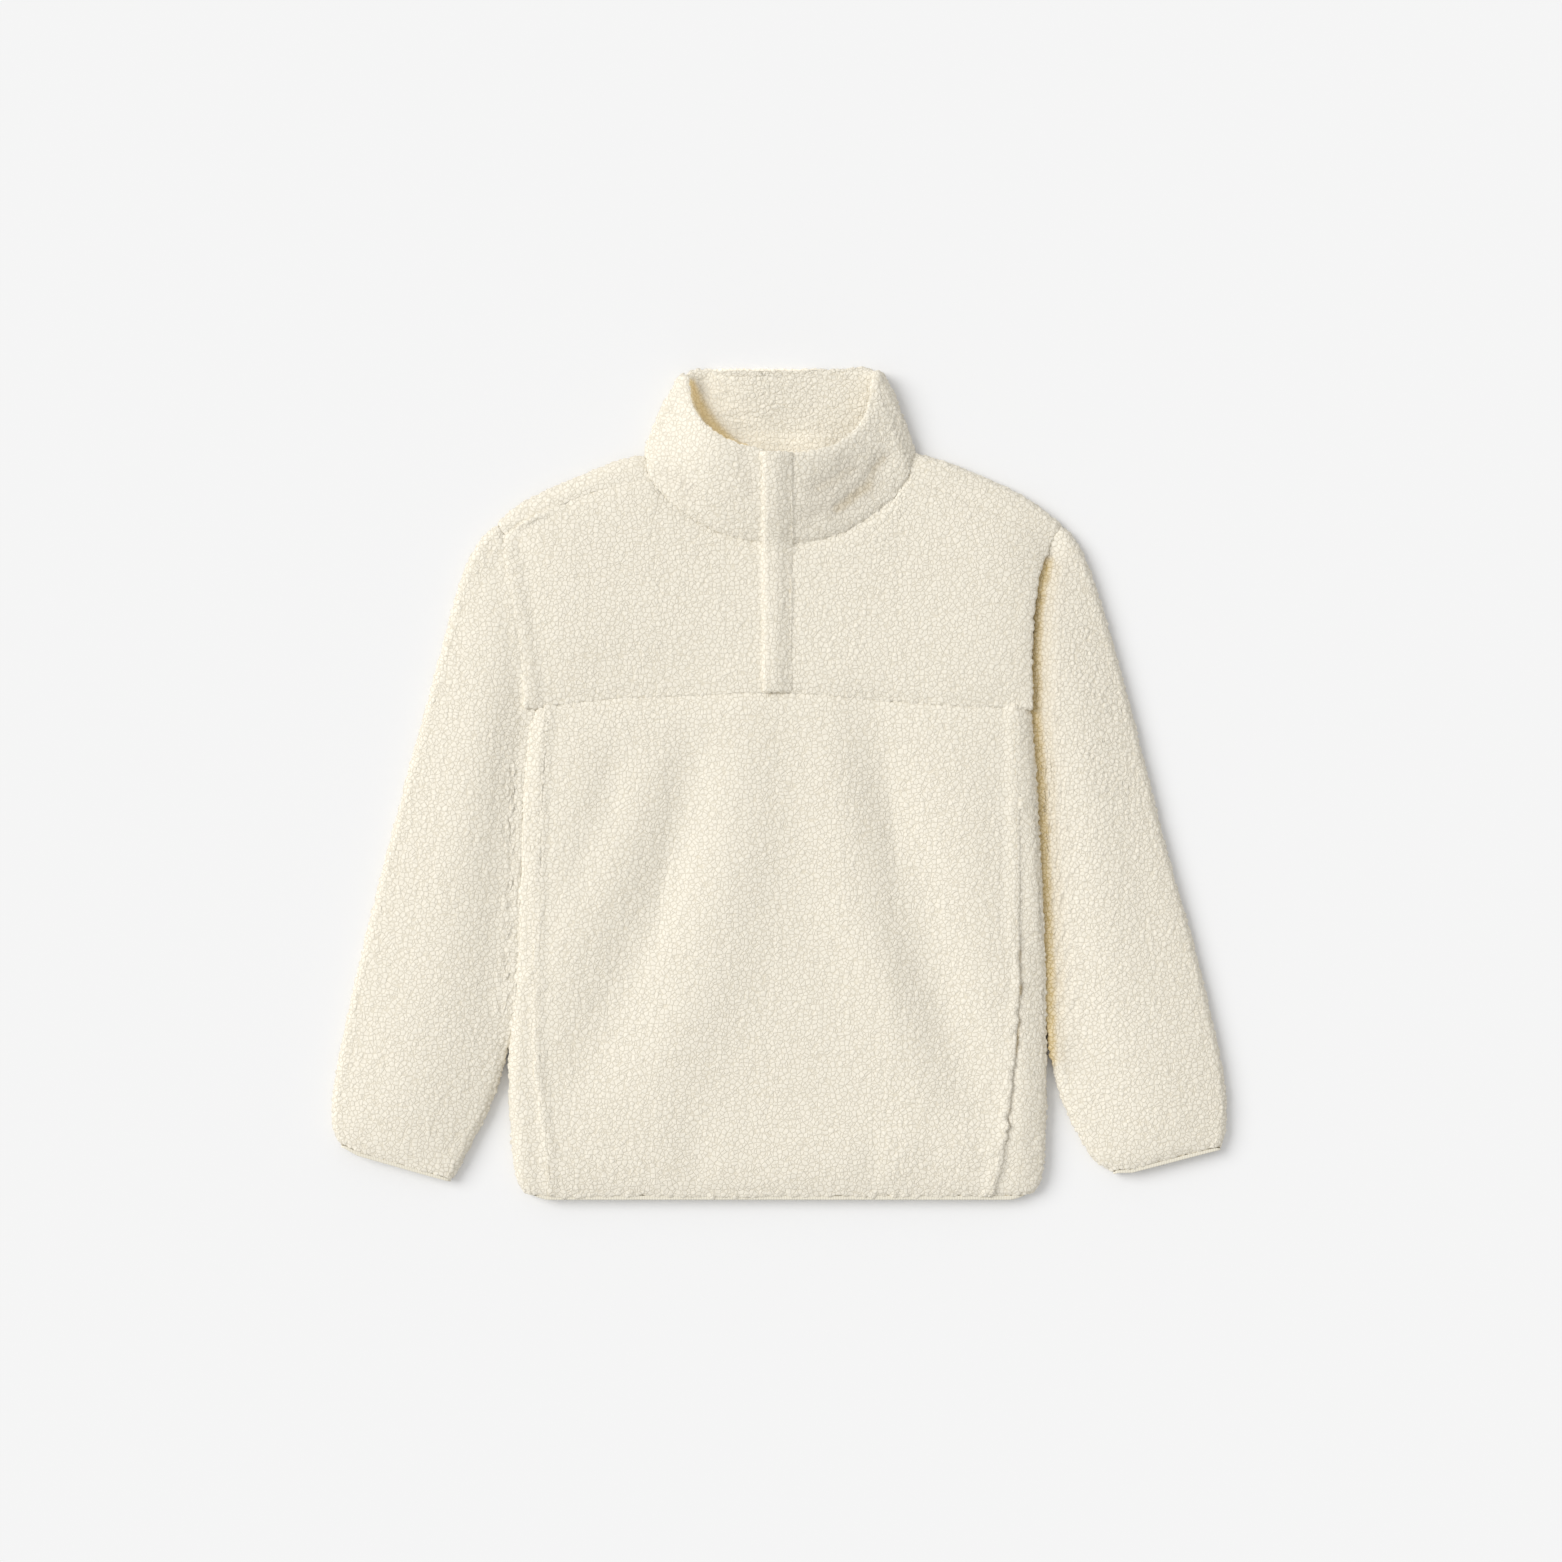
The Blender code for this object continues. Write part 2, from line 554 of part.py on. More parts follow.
def sleeve_loop(side, t):
    """Points round the sleeve, a share t of the way from the armhole to the cuff."""
    low_row, high_row = armhole_rows(side)
    fold, seam = side.shoulder.fold[-1], side.shoulder.seam[-1]
    outer_curve = (fold,) + side.sleeve.outer
    outer_edge = along(outer_curve, [t])[0]
    inner_edge = along(side.sleeve.inner, [t])[0]
    to_inner = inner_edge - outer_edge
    outer_in = heading(outer_curve, t, to_inner, unit(np.subtract(seam, fold)))
    first_in = unit(np.subtract(side.armhole[1], side.armhole[0]))
    inner_in = heading(side.sleeve.inner, t, -to_inner, first_in)
    outer = outer_edge + outer_in * TURN_REACH
    inner = inner_edge + inner_in * TURN_REACH
    fade = 1 - smooth_step(t / SLEEVE_BOW)
    shares, bow = bowed(low_row)
    low = inner + (outer - inner) * shares[:, None] + bow * fade
    shares, bow = bowed(high_row)
    high = outer + (inner - outer) * shares[:, None] + bow * fade
    length = np.linalg.norm(np.subtract(outer_curve[0], outer_curve[-1]))
    from_head = rise(t * length, HEAD_RUN)
    lift = np.maximum(SLEEVE_LOFT + drape(high[:, 0], high[:, 1]), 0)
    lift *= from_head * rise((1 - t) * length, CUFF_RUN)
    lift += side.sleeve.head * read(EDGE_LIFT, "lift", "y", high[:, 1]) * (1 - from_head)
    lift *= np.sin(np.pi * shares)
    return np.concatenate([
        with_height(low, LOW),
        turn(outer, outer_in)[1:-1],
        with_height(high, HIGH + lift),
        turn(inner, inner_in)[-2:0:-1],
    ])


def make_sleeve(side, name):
    return wall(name, [sleeve_loop(side, t) for t in SLEEVE_LINES], ring=True, hollow=True)


# ---------------------------------------------------------------- the collar
def collar_side(side, v):
    """Half of the collar's front and its turn, a share v of the way up from the neck seam."""
    wrap = shoulder_wrap(side, 0)
    neck = np.concatenate([along(side.neck, NECK_LINES), wrap[-2:TURN_STEPS - 1:-1, :2]])
    shares, _ = bowed(neck)
    plan = (1 - v) * neck + v * along(side.rim, shares)
    from_turn = 1 - shares
    neck_height = front_height(neck[:, 0], neck[:, 1])
    rim_height = COLLAR_TURN_HIGH + (RIM_HEIGHT - COLLAR_TURN_HIGH) * smooth_step(from_turn / side.rim_ramp)
    height = (1 - v) * neck_height + v * rim_height
    height += COLLAR_BULGE * np.sin(np.pi * v) * smooth_step(from_turn / side.rim_ramp)
    first_in = unit(np.subtract(side.shoulder.seam[0], side.shoulder.fold[0]))
    edge = unit(np.subtract(side.rim[-1], neck[-1]))
    square = np.array((edge[1], -edge[0])) * -side.sign
    turned = smooth_step(v / COLLAR_TWIST)
    corner = smooth_step((v - 1 + COLLAR_TWIST) / COLLAR_TWIST)
    inward = unit((1 - turned) * first_in + turned * square - COLLAR_CORNER * corner * edge)
    bend = turn(plan[-1], inward, high=height[-1])
    return with_height(plan, height), bend[1:-1]


def collar_loop(v):
    """Points round the collar, from its right end at the centre front to its left end."""
    right, right_turn = collar_side(RIGHT, v)
    left, left_turn = collar_side(LEFT, v)
    back = (1 - v) * back_neck() + v * along(COLLAR_TOP, BACK_NECK_LINES)
    back[0], back[-1] = right[-1, :2], left[-1, :2]
    return np.concatenate([
        right, right_turn[::-1], with_height(back, LOW), left_turn, left[::-1],
    ])


def make_collar():
    return wall("collar", [collar_loop(v) for v in COLLAR_LINES], hollow=True)


# ---------------------------------------------------------------- placket and bindings
def make_placket():
    """The strip over the front opening, raised from the yokes' and the collar's own points."""
    above = CLOTH / 2 + SEAM + PLACKET / 2
    xs = np.linspace(PLACKET_RIGHT, PLACKET_LEFT, 4)
    rows = []
    neck_y = RIGHT_NECK[0][1]
    for y in np.linspace(read(CHEST_SEAM, "y", "x", CENTRE) + SEAM, neck_y, 9):
        plan = np.stack([xs, np.full(len(xs), y)], axis=1)
        rows.append(with_height(plan, front_height(plan[:, 0], plan[:, 1]) + above))
    for v in COLLAR_LINES[1:]:
        centre = collar_side(RIGHT, v)[0][0]
        plan = np.stack([xs, np.full(len(xs), centre[1])], axis=1)
        rows.append(with_height(plan, centre[2] + above + SEAM))
    return wall("placket", rows, thickness=PLACKET, lip=LIP / 2)


def binding(name, loops):
    return wall(name, loops, thickness=BINDING, ring=True, hollow=True, lip=0, look=TAPE)


def hem_loop(y):
    """Points round the hem's tape, which carries on from the back and the front."""
    right, left = side_wrap(RIGHT, y), side_wrap(LEFT, y)
    low = level_row(right[0, 0], left[0, 0], np.array(HEM_LINES[1:-1]), y)
    high = level_row(left[-1, 0], right[-1, 0], np.array(HEM_LINES[1:-1]), y)
    high = with_height(high, front_height(high[:, 0], high[:, 1]))
    return np.concatenate([right[::-1], with_height(low, LOW), left, high])


def make_hem_binding():
    return binding("hem_binding", [hem_loop(HEM_Y - d) for d in (SEAM / 2, BINDING_WIDTH)])


def make_cuff_binding(side, name):
    loop = sleeve_loop(side, 1)
    down = unit(np.mean(loop - sleeve_loop(side, SLEEVE_LINES[-2]), axis=0)[:2])
    return binding(name, [loop + np.append(down, 0) * d for d in (SEAM, BINDING_WIDTH)])


def settle(pieces):
    """Puts the origin under the middle of the garment's box."""
    corners = np.array([vertex.co for piece in pieces for vertex in piece.data.vertices])
    low, high = corners.min(axis=0), corners.max(axis=0)
    shift = np.array([-(low[0] + high[0]) / 2, -(low[1] + high[1]) / 2, -low[2]])
    for piece in pieces:
        for vertex in piece.data.vertices:
            vertex.co = [c + s for c, s in zip(vertex.co, shift)]


def main():
    for item in list(bpy.data.objects):
        bpy.data.objects.remove(item)
    pieces = [
        make_back(), make_front_lower(), make_yoke(RIGHT, "yoke_right"), make_yoke(LEFT, "yoke_left"),
        make_sleeve(RIGHT, "sleeve_right"), make_sleeve(LEFT, "sleeve_left"), make_collar(),
        make_placket(), make_hem_binding(),
        make_cuff_binding(RIGHT, "cuff_binding_right"), make_cuff_binding(LEFT, "cuff_binding_left"),
    ]
    settle(pieces)


main()
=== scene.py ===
# %% [markdown]
# # A sherpa fleece pullover, laid out flat
#
# Sherpa is a knitted fleece. Its face is brushed, sheared and tumbled until the fibres curl into
# small soft tufts, like the coat of a lamb. The pullover here is cut from cream sherpa. It lies on
# its back on a pale table, smoothed by hand, with its sleeves beside it.
#
# The construction is already done: the imported model holds one wall of cloth for each cut piece. This
# lesson gives each piece its finish. It welds and rounds a copy of the wall, shapes it at its edges,
# makes the mesh finer where the air can reach it, raises the tufts as real geometry, and paints shade
# into their colour by their depth. Left and right are the wearer's, and the wearer's right is at -X.

# %% Load the pieces
import math
from collections import namedtuple

import bpy
import numpy as np
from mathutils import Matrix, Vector
from mathutils.bvhtree import BVHTree


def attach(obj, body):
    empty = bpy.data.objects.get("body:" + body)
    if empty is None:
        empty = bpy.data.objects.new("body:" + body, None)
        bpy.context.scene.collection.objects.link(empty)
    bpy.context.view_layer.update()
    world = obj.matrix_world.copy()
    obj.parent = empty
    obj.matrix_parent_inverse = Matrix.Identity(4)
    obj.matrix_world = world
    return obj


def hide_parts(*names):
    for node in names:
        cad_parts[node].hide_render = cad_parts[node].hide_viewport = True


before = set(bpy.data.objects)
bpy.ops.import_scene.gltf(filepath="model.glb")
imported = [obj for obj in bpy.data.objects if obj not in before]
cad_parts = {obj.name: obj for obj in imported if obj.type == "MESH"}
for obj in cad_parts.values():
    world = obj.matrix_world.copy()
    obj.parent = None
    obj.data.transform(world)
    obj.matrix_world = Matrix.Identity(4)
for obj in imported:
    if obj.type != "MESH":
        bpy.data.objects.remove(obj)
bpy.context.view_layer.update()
MM = 0.001
print("pieces:", ", ".join(sorted(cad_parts)))

# %% [markdown]
# ## Where the camera stands
#
# A flat garment is best seen from straight above, like a sheet of paper on a table. A long lens a
# few metres up keeps its outline true. The lens is worked out from the width of table that it should
# see, so it is easy to change the distance and keep the frame.

# %% The camera
VIEW_WIDTH = 1.426           # of the table, in metres
VIEW_CENTRE = (0.0014, 0.0027)
CAMERA_HEIGHT = 3.0
SENSOR_WIDTH = 36            # in millimetres

camera_data = bpy.data.cameras.new("camera")
camera_data.sensor_width = SENSOR_WIDTH
camera_data.lens = camera_data.sensor_width * CAMERA_HEIGHT / VIEW_WIDTH
camera = bpy.data.objects.new("camera", camera_data)
camera.location = (*VIEW_CENTRE, CAMERA_HEIGHT)
bpy.context.scene.collection.objects.link(camera)
bpy.context.scene.camera = camera
print(f"lens {camera_data.lens:.1f} mm")

# %% [markdown]
# ## Light
#
# Pale fleece needs soft light, or its crevices go black. Most of it comes from all round, as in a
# white room. One broad lamp stands low on the camera's left. It is a sun lamp with a wide angle,
# which lights every place alike. So the table keeps one even tone, and a soft shadow lies along the
# other side of each raised edge.

# %% The room, the lamp and the table
ROOM_LIGHT = 0.66
LAMP_LIGHT = 2.1
LAMP_ANGLE = 38
LAMP_FROM = Vector((-1.0, 0.4, 0.88))
TABLE_SIZE = 8
TABLE_COLOUR = (0.845, 0.845, 0.845, 1)

world = bpy.data.worlds.new("white room")
world.use_nodes = True
world.node_tree.nodes["Background"].inputs["Color"].default_value = (1, 1, 1, 1)
world.node_tree.nodes["Background"].inputs["Strength"].default_value = ROOM_LIGHT
bpy.context.scene.world = world

lamp_data = bpy.data.lights.new("broad lamp", "SUN")
lamp_data.energy = LAMP_LIGHT
lamp_data.angle = math.radians(LAMP_ANGLE)
lamp = bpy.data.objects.new("broad lamp", lamp_data)
lamp.rotation_mode = "QUATERNION"
lamp.rotation_quaternion = LAMP_FROM.to_track_quat("Z", "Y")
bpy.context.scene.collection.objects.link(lamp)

bpy.context.scene.view_settings.view_transform = "Standard"


def deselect_all():
    for item in list(bpy.context.selected_objects):
        item.select_set(False)


deselect_all()
bpy.ops.mesh.primitive_plane_add(size=TABLE_SIZE)
table = bpy.context.object
table.name = "table"
table_finish = bpy.data.materials.new("matt table")
table_finish.use_nodes = True
table_shader = table_finish.node_tree.nodes["Principled BSDF"]
table_shader.inputs["Base Color"].default_value = TABLE_COLOUR
table_shader.inputs["Roughness"].default_value = 1
table_shader.inputs["Specular IOR Level"].default_value = 0
table.data.materials.append(table_finish)
print("lit:", lamp.name, "and", world.name)

# %% [markdown]
# ## From a cut wall to soft cloth
#
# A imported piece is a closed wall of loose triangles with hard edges. A copy of it is welded, its
# triangles are paired into four-sided faces, and a Subdivision Surface rounds it. That turns each
# sewn edge into the soft roll that thick fleece makes there. The faces have to be four-sided first,
# because a subdivision surface keeps every unevenness of its cage. The tapes at the hem and the
# cuffs are made in the same way.

# %% Copy, weld and round a piece
FLEECE_NODES = (
    "back", "front_lower", "yoke_right", "yoke_left",
    "sleeve_right", "sleeve_left", "collar", "placket",
)
ROLLED_NODES = ("collar", "placket")         # their upper edges are rolled, not sewn down
TAPE_NODES = ("hem_binding", "cuff_binding_right", "cuff_binding_left")

WELD = 0.01 * MM
FLAT_PAIR = 50               # most degrees between two triangles that become one face
SQUARE_PAIR = 60             # and most degrees by which that face may differ from a rectangle
SEWN_ANGLE = 50              # an edge sharper than this is sewn or rolled
SEWN_CREASE = 1.0
ROLLED_CREASE = 0.3
ROUNDING = 2


def use_only(piece):
    deselect_all()
    piece.select_set(True)
    bpy.context.view_layer.objects.active = piece


def weld_and_pair(crease):
    """Joins the active piece's loose triangles, pairs them, and marks its sharp edges."""
    bpy.ops.object.mode_set(mode="EDIT")
    bpy.ops.mesh.select_all(action="SELECT")
    bpy.ops.mesh.customdata_custom_splitnormals_clear()
    bpy.ops.mesh.remove_doubles(threshold=WELD)
    bpy.ops.mesh.tris_convert_to_quads(
        face_threshold=math.radians(FLAT_PAIR), shape_threshold=math.radians(SQUARE_PAIR),
    )
    bpy.context.tool_settings.mesh_select_mode = (False, True, False)
    bpy.ops.mesh.select_all(action="DESELECT")
    bpy.ops.mesh.edges_select_sharp(sharpness=math.radians(SEWN_ANGLE))
    bpy.ops.transform.edge_crease(value=crease)
    bpy.ops.object.mode_set(mode="OBJECT")


def cloth_from(node, name, crease):
    """A new piece that starts as the node's wall, welded, in four-sided faces and rounded."""
    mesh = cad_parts[node].data.copy()
    mesh.materials.clear()
    piece = bpy.data.objects.new(name, mesh)
    bpy.context.scene.collection.objects.link(piece)
    use_only(piece)
    weld_and_pair(crease)
    rounding = piece.modifiers.new("rounding", "SUBSURF")
    rounding.levels = ROUNDING
    rounding.render_levels = ROUNDING
    bpy.ops.object.modifier_apply(modifier=rounding.name)
    bpy.ops.object.shade_smooth()
    return piece


pieces = {
    node: cloth_from(node, f"pile_{node}", ROLLED_CREASE if node in ROLLED_NODES else SEWN_CREASE)
    for node in FLEECE_NODES
}
tapes = {node: cloth_from(node, f"tape_{node}", SEWN_CREASE) for node in TAPE_NODES}
for piece in (*pieces.values(), *tapes.values()):
    print(f"{piece.name}: {len(piece.data.polygons)} faces")

# %% [markdown]
# ## Unevenness
#
# Nothing on a soft garment is quite straight. Soft noise bends lines and edges a little. Worley
# noise has the form of curled pile, which splits into small clumps with thin crevices between them:
# it scatters one seed in each cell of a grid, and a point that is about as near to two seeds lies in
# a crevice. Both are written with numpy, so that a few hundred thousand points take a second or two.
# Their random numbers follow from the grid and a salt alone, so they never change.

# %% Noise
CELL_FACTORS = (73856093, 19349663, 83492791)     # large numbers that mix up a cell's x, y and z
SALT_FACTOR = 40503
MIXES = ((13, 1274126177), (11, 668265263))       # a shift and a factor, used in turn
POSITIVE = 0x7FFFFFFF
LAST_SHIFT, LAST_BITS = 7, 0xFFFF
FAR = 9.0                                         # further than any seed, in cells

SALTS = {                    # one for each pattern, so that no two agree
    "tuft": 5, "curl": 11, "fuzz": 31, "slit loops": 51, "slit clumps": 52, "lower edge": 53,
    "cuff": 54, "rim": 55, "crease": 61, "shade_spots": 71,
}


def scatter(cells, salt):
    """Numbers from 0 to 1 that look random but follow from whole numbers alone."""
    x, y, z = (cells[..., n] * factor for n, factor in enumerate(CELL_FACTORS))
    mixed = x ^ y ^ z ^ salt * SALT_FACTOR
    for shift, factor in MIXES:
        mixed = (mixed ^ (mixed >> shift)) * factor & POSITIVE
    return (mixed >> LAST_SHIFT & LAST_BITS) / LAST_BITS


def soft_noise(points, size, salt):
    """Smooth noise from -1 to 1, with features of about the given size."""
    places = points / size
    cells = np.floor(places).astype(np.int64)
    share = places - cells
    share = share * share * (3 - 2 * share)
    total = np.zeros(len(points))
    for corner in np.ndindex(2, 2, 2):
        weight = np.prod(np.where(corner, share, 1 - share), axis=1)
        total += weight * scatter(cells + corner, salt)
    return total * 2 - 1


def push_about(points, size, amount, salt):
    """Moves each point a little way in a direction that the noise chooses."""
    moves = [soft_noise(points, size, salt + k) for k in range(3)]
    return points + amount * np.stack(moves, axis=1)


def worley(points, size, salt):
    """Distances to the nearest and second nearest seed, in cells, and the nearest seed's number."""
    places = points / size
    cells = np.floor(places).astype(np.int64)
    first = np.full(len(points), FAR)
    second = first.copy()
    number = np.zeros(len(points))
    for step in np.ndindex(3, 3, 3):
        cell = cells + np.array(step) - 1
        seed = cell + np.stack([scatter(cell, salt + k) for k in range(3)], axis=1)
        away = np.linalg.norm(seed - places, axis=1)
        nearer = away < first
        second = np.where(nearer, first, np.minimum(second, away))
        number = np.where(nearer, scatter(cell, salt + 3), number)
        first = np.where(nearer, away, first)
    return first, second, number


print(len(SALTS), "patterns of noise")

# %% [markdown]
# ## Shaped one by one
#
# Some forms are too small for the construction, but they tell the eye how the pullover lies. The
# body lies over the right sleeve, and the left sleeve falls away from it into a narrow valley. At
# each seam the edges rise and lap a little, because the pile closes it. The collar's open edge is
# thicker at its corners, where the cloth is folded double, and creases run over its front. The
# placket is rolled on one side and blends into the yoke on the other. Two corners of the cuffs are
# round. Each form is a move of the points near a line or a place, and fades out with the distance
# from it.

# %% Helpers for moving points
LINE_STEP = 6 * MM           # an edge's line is read at steps of this length


def read_points(mesh, name="co"):
    values = np.empty(len(mesh.vertices) * 3)
    mesh.vertices.foreach_get(name, values)
    return values.reshape(-1, 3)


def write_points(mesh, points):
    mesh.vertices.foreach_set("co", points.ravel())
    mesh.update()


def reshape(piece, move, *settings):
    """Gives a piece the points that a move makes of its own."""
    write_points(piece.data, move(read_points(piece.data), *settings))


def smooth(share):
    share = np.clip(share, 0, 1)
    return share * share * (3 - 2 * share)


def between(values, low, high, fade):
    """1 between two values, fading to 0 over a distance outside them."""
    return smooth((values - low) / fade + 1) * smooth((high - values) / fade + 1)


def side_line(points, toward, of=None):
    """How far the points, or those of another piece, reach to one side at each point's y.

    toward is 1 for the reach to +X and -1 for -X.
    """
    outline = points if of is None else of
    rows = np.round(outline[:, 1] / LINE_STEP).astype(int)
    numbers = np.unique(rows)
    reach = [toward * np.max(toward * outline[rows == row, 0]) for row in numbers]
    return np.interp(points[:, 1], numbers * LINE_STEP, reach)


# %% The sleeves beside the body
SLEEVE_MIDDLE = 7 * MM       # height of the middle of a sleeve's folded edge
TOP_FADE = 2 * MM
UNDERARM = 70 * MM

TUCK_END = -208 * MM
TUCK_FADE = 42 * MM
TUCK_REACH = 8 * MM
TUCK_SHIFT = 3.5 * MM
TUCK_LIFT = 0.85             # share of the missing height that the right sleeve's edge gains

VALLEY_TOP = 205 * MM
VALLEY_FADE = 25 * MM
VALLEY_REACH = 23 * MM
VALLEY_FLOOR = 0.4           # share of its height that the left sleeve keeps at the valley's floor
PARTING = 0.6 * TUCK_SHIFT   # how far it draws back from the body
PARTING_FADE = 20 * MM

SIDE_MIDDLE = 10 * MM
SLOPE_LOW, SLOPE_HIGH, SLOPE_FADE = -352 * MM, -170 * MM, 60 * MM
SLOPE_REACH = 24 * MM
SLOPE_FALL = 0.42


def tuck_right_sleeve(points):
    """Carries the sleeve's top on under the edge of the body."""
    from_edge = side_line(points, 1) - points[:, 0]
    beside_body = between(points[:, 1], TUCK_END, UNDERARM, TUCK_FADE)
    near = (1 - smooth(from_edge / TUCK_REACH)) * beside_body
    upper = smooth((points[:, 2] - SLEEVE_MIDDLE) / TOP_FADE + 1)
    full_height = 2 * SLEEVE_MIDDLE
    points[:, 2] += np.maximum(full_height - points[:, 2], 0) * TUCK_LIFT * near * upper
    points[:, 0] += TUCK_SHIFT * near
    return points


def sink_left_sleeve(points):
    """Lets the sleeve fall away into a valley beside the body and below the armhole's seam."""
    from_edge = points[:, 0] - side_line(points, -1)
    beside_body = between(points[:, 1], TUCK_END, VALLEY_TOP, VALLEY_FADE)
    fall = (1 - smooth(from_edge / VALLEY_REACH)) * beside_body
    above = np.maximum(points[:, 2] - SLEEVE_MIDDLE, 0)
    points[:, 2] -= above * fall * (1 - VALLEY_FLOOR)
    below_underarm = between(points[:, 1], TUCK_END, UNDERARM, PARTING_FADE)
    points[:, 0] -= PARTING * (1 - smooth(from_edge / TUCK_REACH)) * below_underarm
    return points


def lower_left_side(points):
    """The body's left side slopes down more below the waist, where nothing fills it."""
    from_edge = side_line(points, 1) - points[:, 0]
    below_waist = between(points[:, 1], SLOPE_LOW, SLOPE_HIGH, SLOPE_FADE)
    slope = (1 - smooth(from_edge / SLOPE_REACH)) * below_waist
    points[:, 2] -= np.maximum(points[:, 2] - SIDE_MIDDLE, 0) * slope * SLOPE_FALL
    return points


reshape(pieces["sleeve_right"], tuck_right_sleeve)
reshape(pieces["sleeve_left"], sink_left_sleeve)
reshape(pieces["back"], lower_left_side)
print("right sleeve tucked under the body, left sleeve sunk beside it")

# %% The seams that the pile closes
Edge = namedtuple("Edge", "node toward low high reach lift lap")
EDGES = (
    Edge("sleeve_right", 1, 75 * MM, 238 * MM, 14 * MM, 2.4 * MM, 0),
    Edge("sleeve_right", 1, -205 * MM, 62 * MM, 24 * MM, 2.6 * MM, 0),
    Edge("yoke_right", -1, 75 * MM, 238 * MM, 14 * MM, 3.4 * MM, 4.2 * MM),
    Edge("front_lower", -1, -380 * MM, 80 * MM, 11 * MM, 2.3 * MM, 1.6 * MM),
    Edge("front_lower", 1, -380 * MM, 80 * MM, 13 * MM, 2.8 * MM, 2.4 * MM),
)
EDGE_FADE = 20 * MM
UPPER = 11 * MM              # what lies above this height is a piece's top layer
UPPER_FADE = 3 * MM
LAP_REACH = 5 * MM

STRIP_LOW, STRIP_HIGH, STRIP_FADE = -372 * MM, 80 * MM, 12 * MM
STRIP_BEYOND = 150 * MM      # the strips lie further than this from the middle
STRIP_REACH = 9 * MM
STRIP_LIFT = 2.5 * MM
STRIP_LAP = 2.0 * MM

OPENING_LOW, OPENING_HIGH, OPENING_FADE = -322 * MM, -156 * MM, 14 * MM
UNSEWN = 0.6                 # share of the lift that the front's edge loses at the opening


def at_opening(points, toward):
    """1 beside the hand opening on the left, where the front isn't sewn to the back."""
    return between(points[:, 1], OPENING_LOW, OPENING_HIGH, OPENING_FADE) * (toward > 0)


def raise_edge(points, edge):
    """Lifts a piece's top layer at its seam and laps it over its neighbour's to hide the groove."""
    from_edge = edge.toward * (side_line(points, edge.toward) - points[:, 0])
    upper = smooth((points[:, 2] - UPPER) / UPPER_FADE)
    here = between(points[:, 1], edge.low, edge.high, EDGE_FADE) * upper
    if edge.node == "front_lower":
        here *= 1 - UNSEWN * at_opening(points, edge.toward)
    points[:, 2] += edge.lift * here * (1 - smooth(from_edge / edge.reach))
    points[:, 0] += edge.toward * edge.lap * here * (1 - smooth(from_edge / LAP_REACH))
    return points


def raise_strip(points, toward):
    """The same for the strip of the back that comes round to the front on one side."""
    strip = (toward * points[:, 0] > STRIP_BEYOND) & (points[:, 2] > UPPER)
    from_edge = toward * (points[:, 0] - side_line(points, -toward, points[strip]))
    here = between(points[:, 1], STRIP_LOW, STRIP_HIGH, STRIP_FADE)
    here = here * (1 - at_opening(points, toward)) * strip
    near = here * (1 - smooth(from_edge / STRIP_REACH))
    points[:, 2] += STRIP_LIFT * near
    points[:, 0] -= toward * STRIP_LAP * near
    return points


def raise_strips(points):
    return raise_strip(raise_strip(points, -1), 1)


for edge in EDGES:
    reshape(pieces[edge.node], raise_edge, edge)
reshape(pieces["back"], raise_strips)
print(len(EDGES), "edges and both strips raised at their seams")

# %% The collar's corners
CORNERS = (Vector((-86, 370, 14)) * MM, Vector((88, 369, 14)) * MM)
MOUTH = Vector((0, 352, 12)) * MM            # the middle of the collar's mouth
CORNER_REACH = 34 * MM
CORNER_SHAPE = (1, 0.6, 1)                   # it reaches further along y
THICKER = 4.5 * MM
FACING = 1.5                                 # how soon a side counts as facing the mouth
ROUND_REACH = 27 * MM
SMOOTHING = 0.5
SMOOTHING_STEPS = 60
TOO_WEAK = 0.01


def toward_mouth(points):
    """Directions from the points to the middle of the collar's mouth."""
    inward = np.array(MOUTH) - points
    return inward / np.linalg.norm(inward, axis=1, keepdims=True)


def thicken_corners(mesh):
    """Swells the cloth that faces the collar's mouth, near its two top corners."""
    points, normals = read_points(mesh), read_points(mesh, "normal")
    facing = smooth(np.sum(toward_mouth(points) * normals, axis=1) * FACING)
    for corner in CORNERS:
        away = np.linalg.norm((points - np.array(corner)) * CORNER_SHAPE, axis=1)
        points += normals * (THICKER * facing * (1 - smooth(away / CORNER_REACH)))[:, None]
    write_points(mesh, points)


def round_corners(piece):
    """Smooths the collar near its corners, so that its rim flows into its top edge."""
    points = read_points(piece.data)
    group = piece.vertex_groups.new(name="corners")
    near = np.zeros(len(points))
    for corner in CORNERS:
        away = np.linalg.norm(points - np.array(corner), axis=1)
        near = np.maximum(near, 1 - smooth(away / ROUND_REACH))
    for n in np.nonzero(near > TOO_WEAK)[0]:
        group.add([int(n)], float(near[n]), "REPLACE")
    use_only(piece)
    smoother = piece.modifiers.new("corners", "SMOOTH")
    smoother.factor = SMOOTHING
    smoother.iterations = SMOOTHING_STEPS
    smoother.vertex_group = group.name
    bpy.ops.object.modifier_apply(modifier=smoother.name)
    piece.vertex_groups.clear()


thicken_corners(pieces["collar"].data)
round_corners(pieces["collar"])
print("collar thicker and rounder at", len(CORNERS), "corners")

# %% The collar's top
TOP_MOVES = (                # x, and the move along y that makes the top level there, in millimetres
    (-112, 0), (-105, -5), (-99, -7), (-93, -5), (-86, 0), (-80, 5), (-75, 4), (-68, 1), (-58, 0),
    (56, 0), (66, 2), (75, 4.5), (82, 7), (88, 5), (93, 1), (99, 0),
)
TOP_FROM, TOP_TO = 338 * MM, 366 * MM

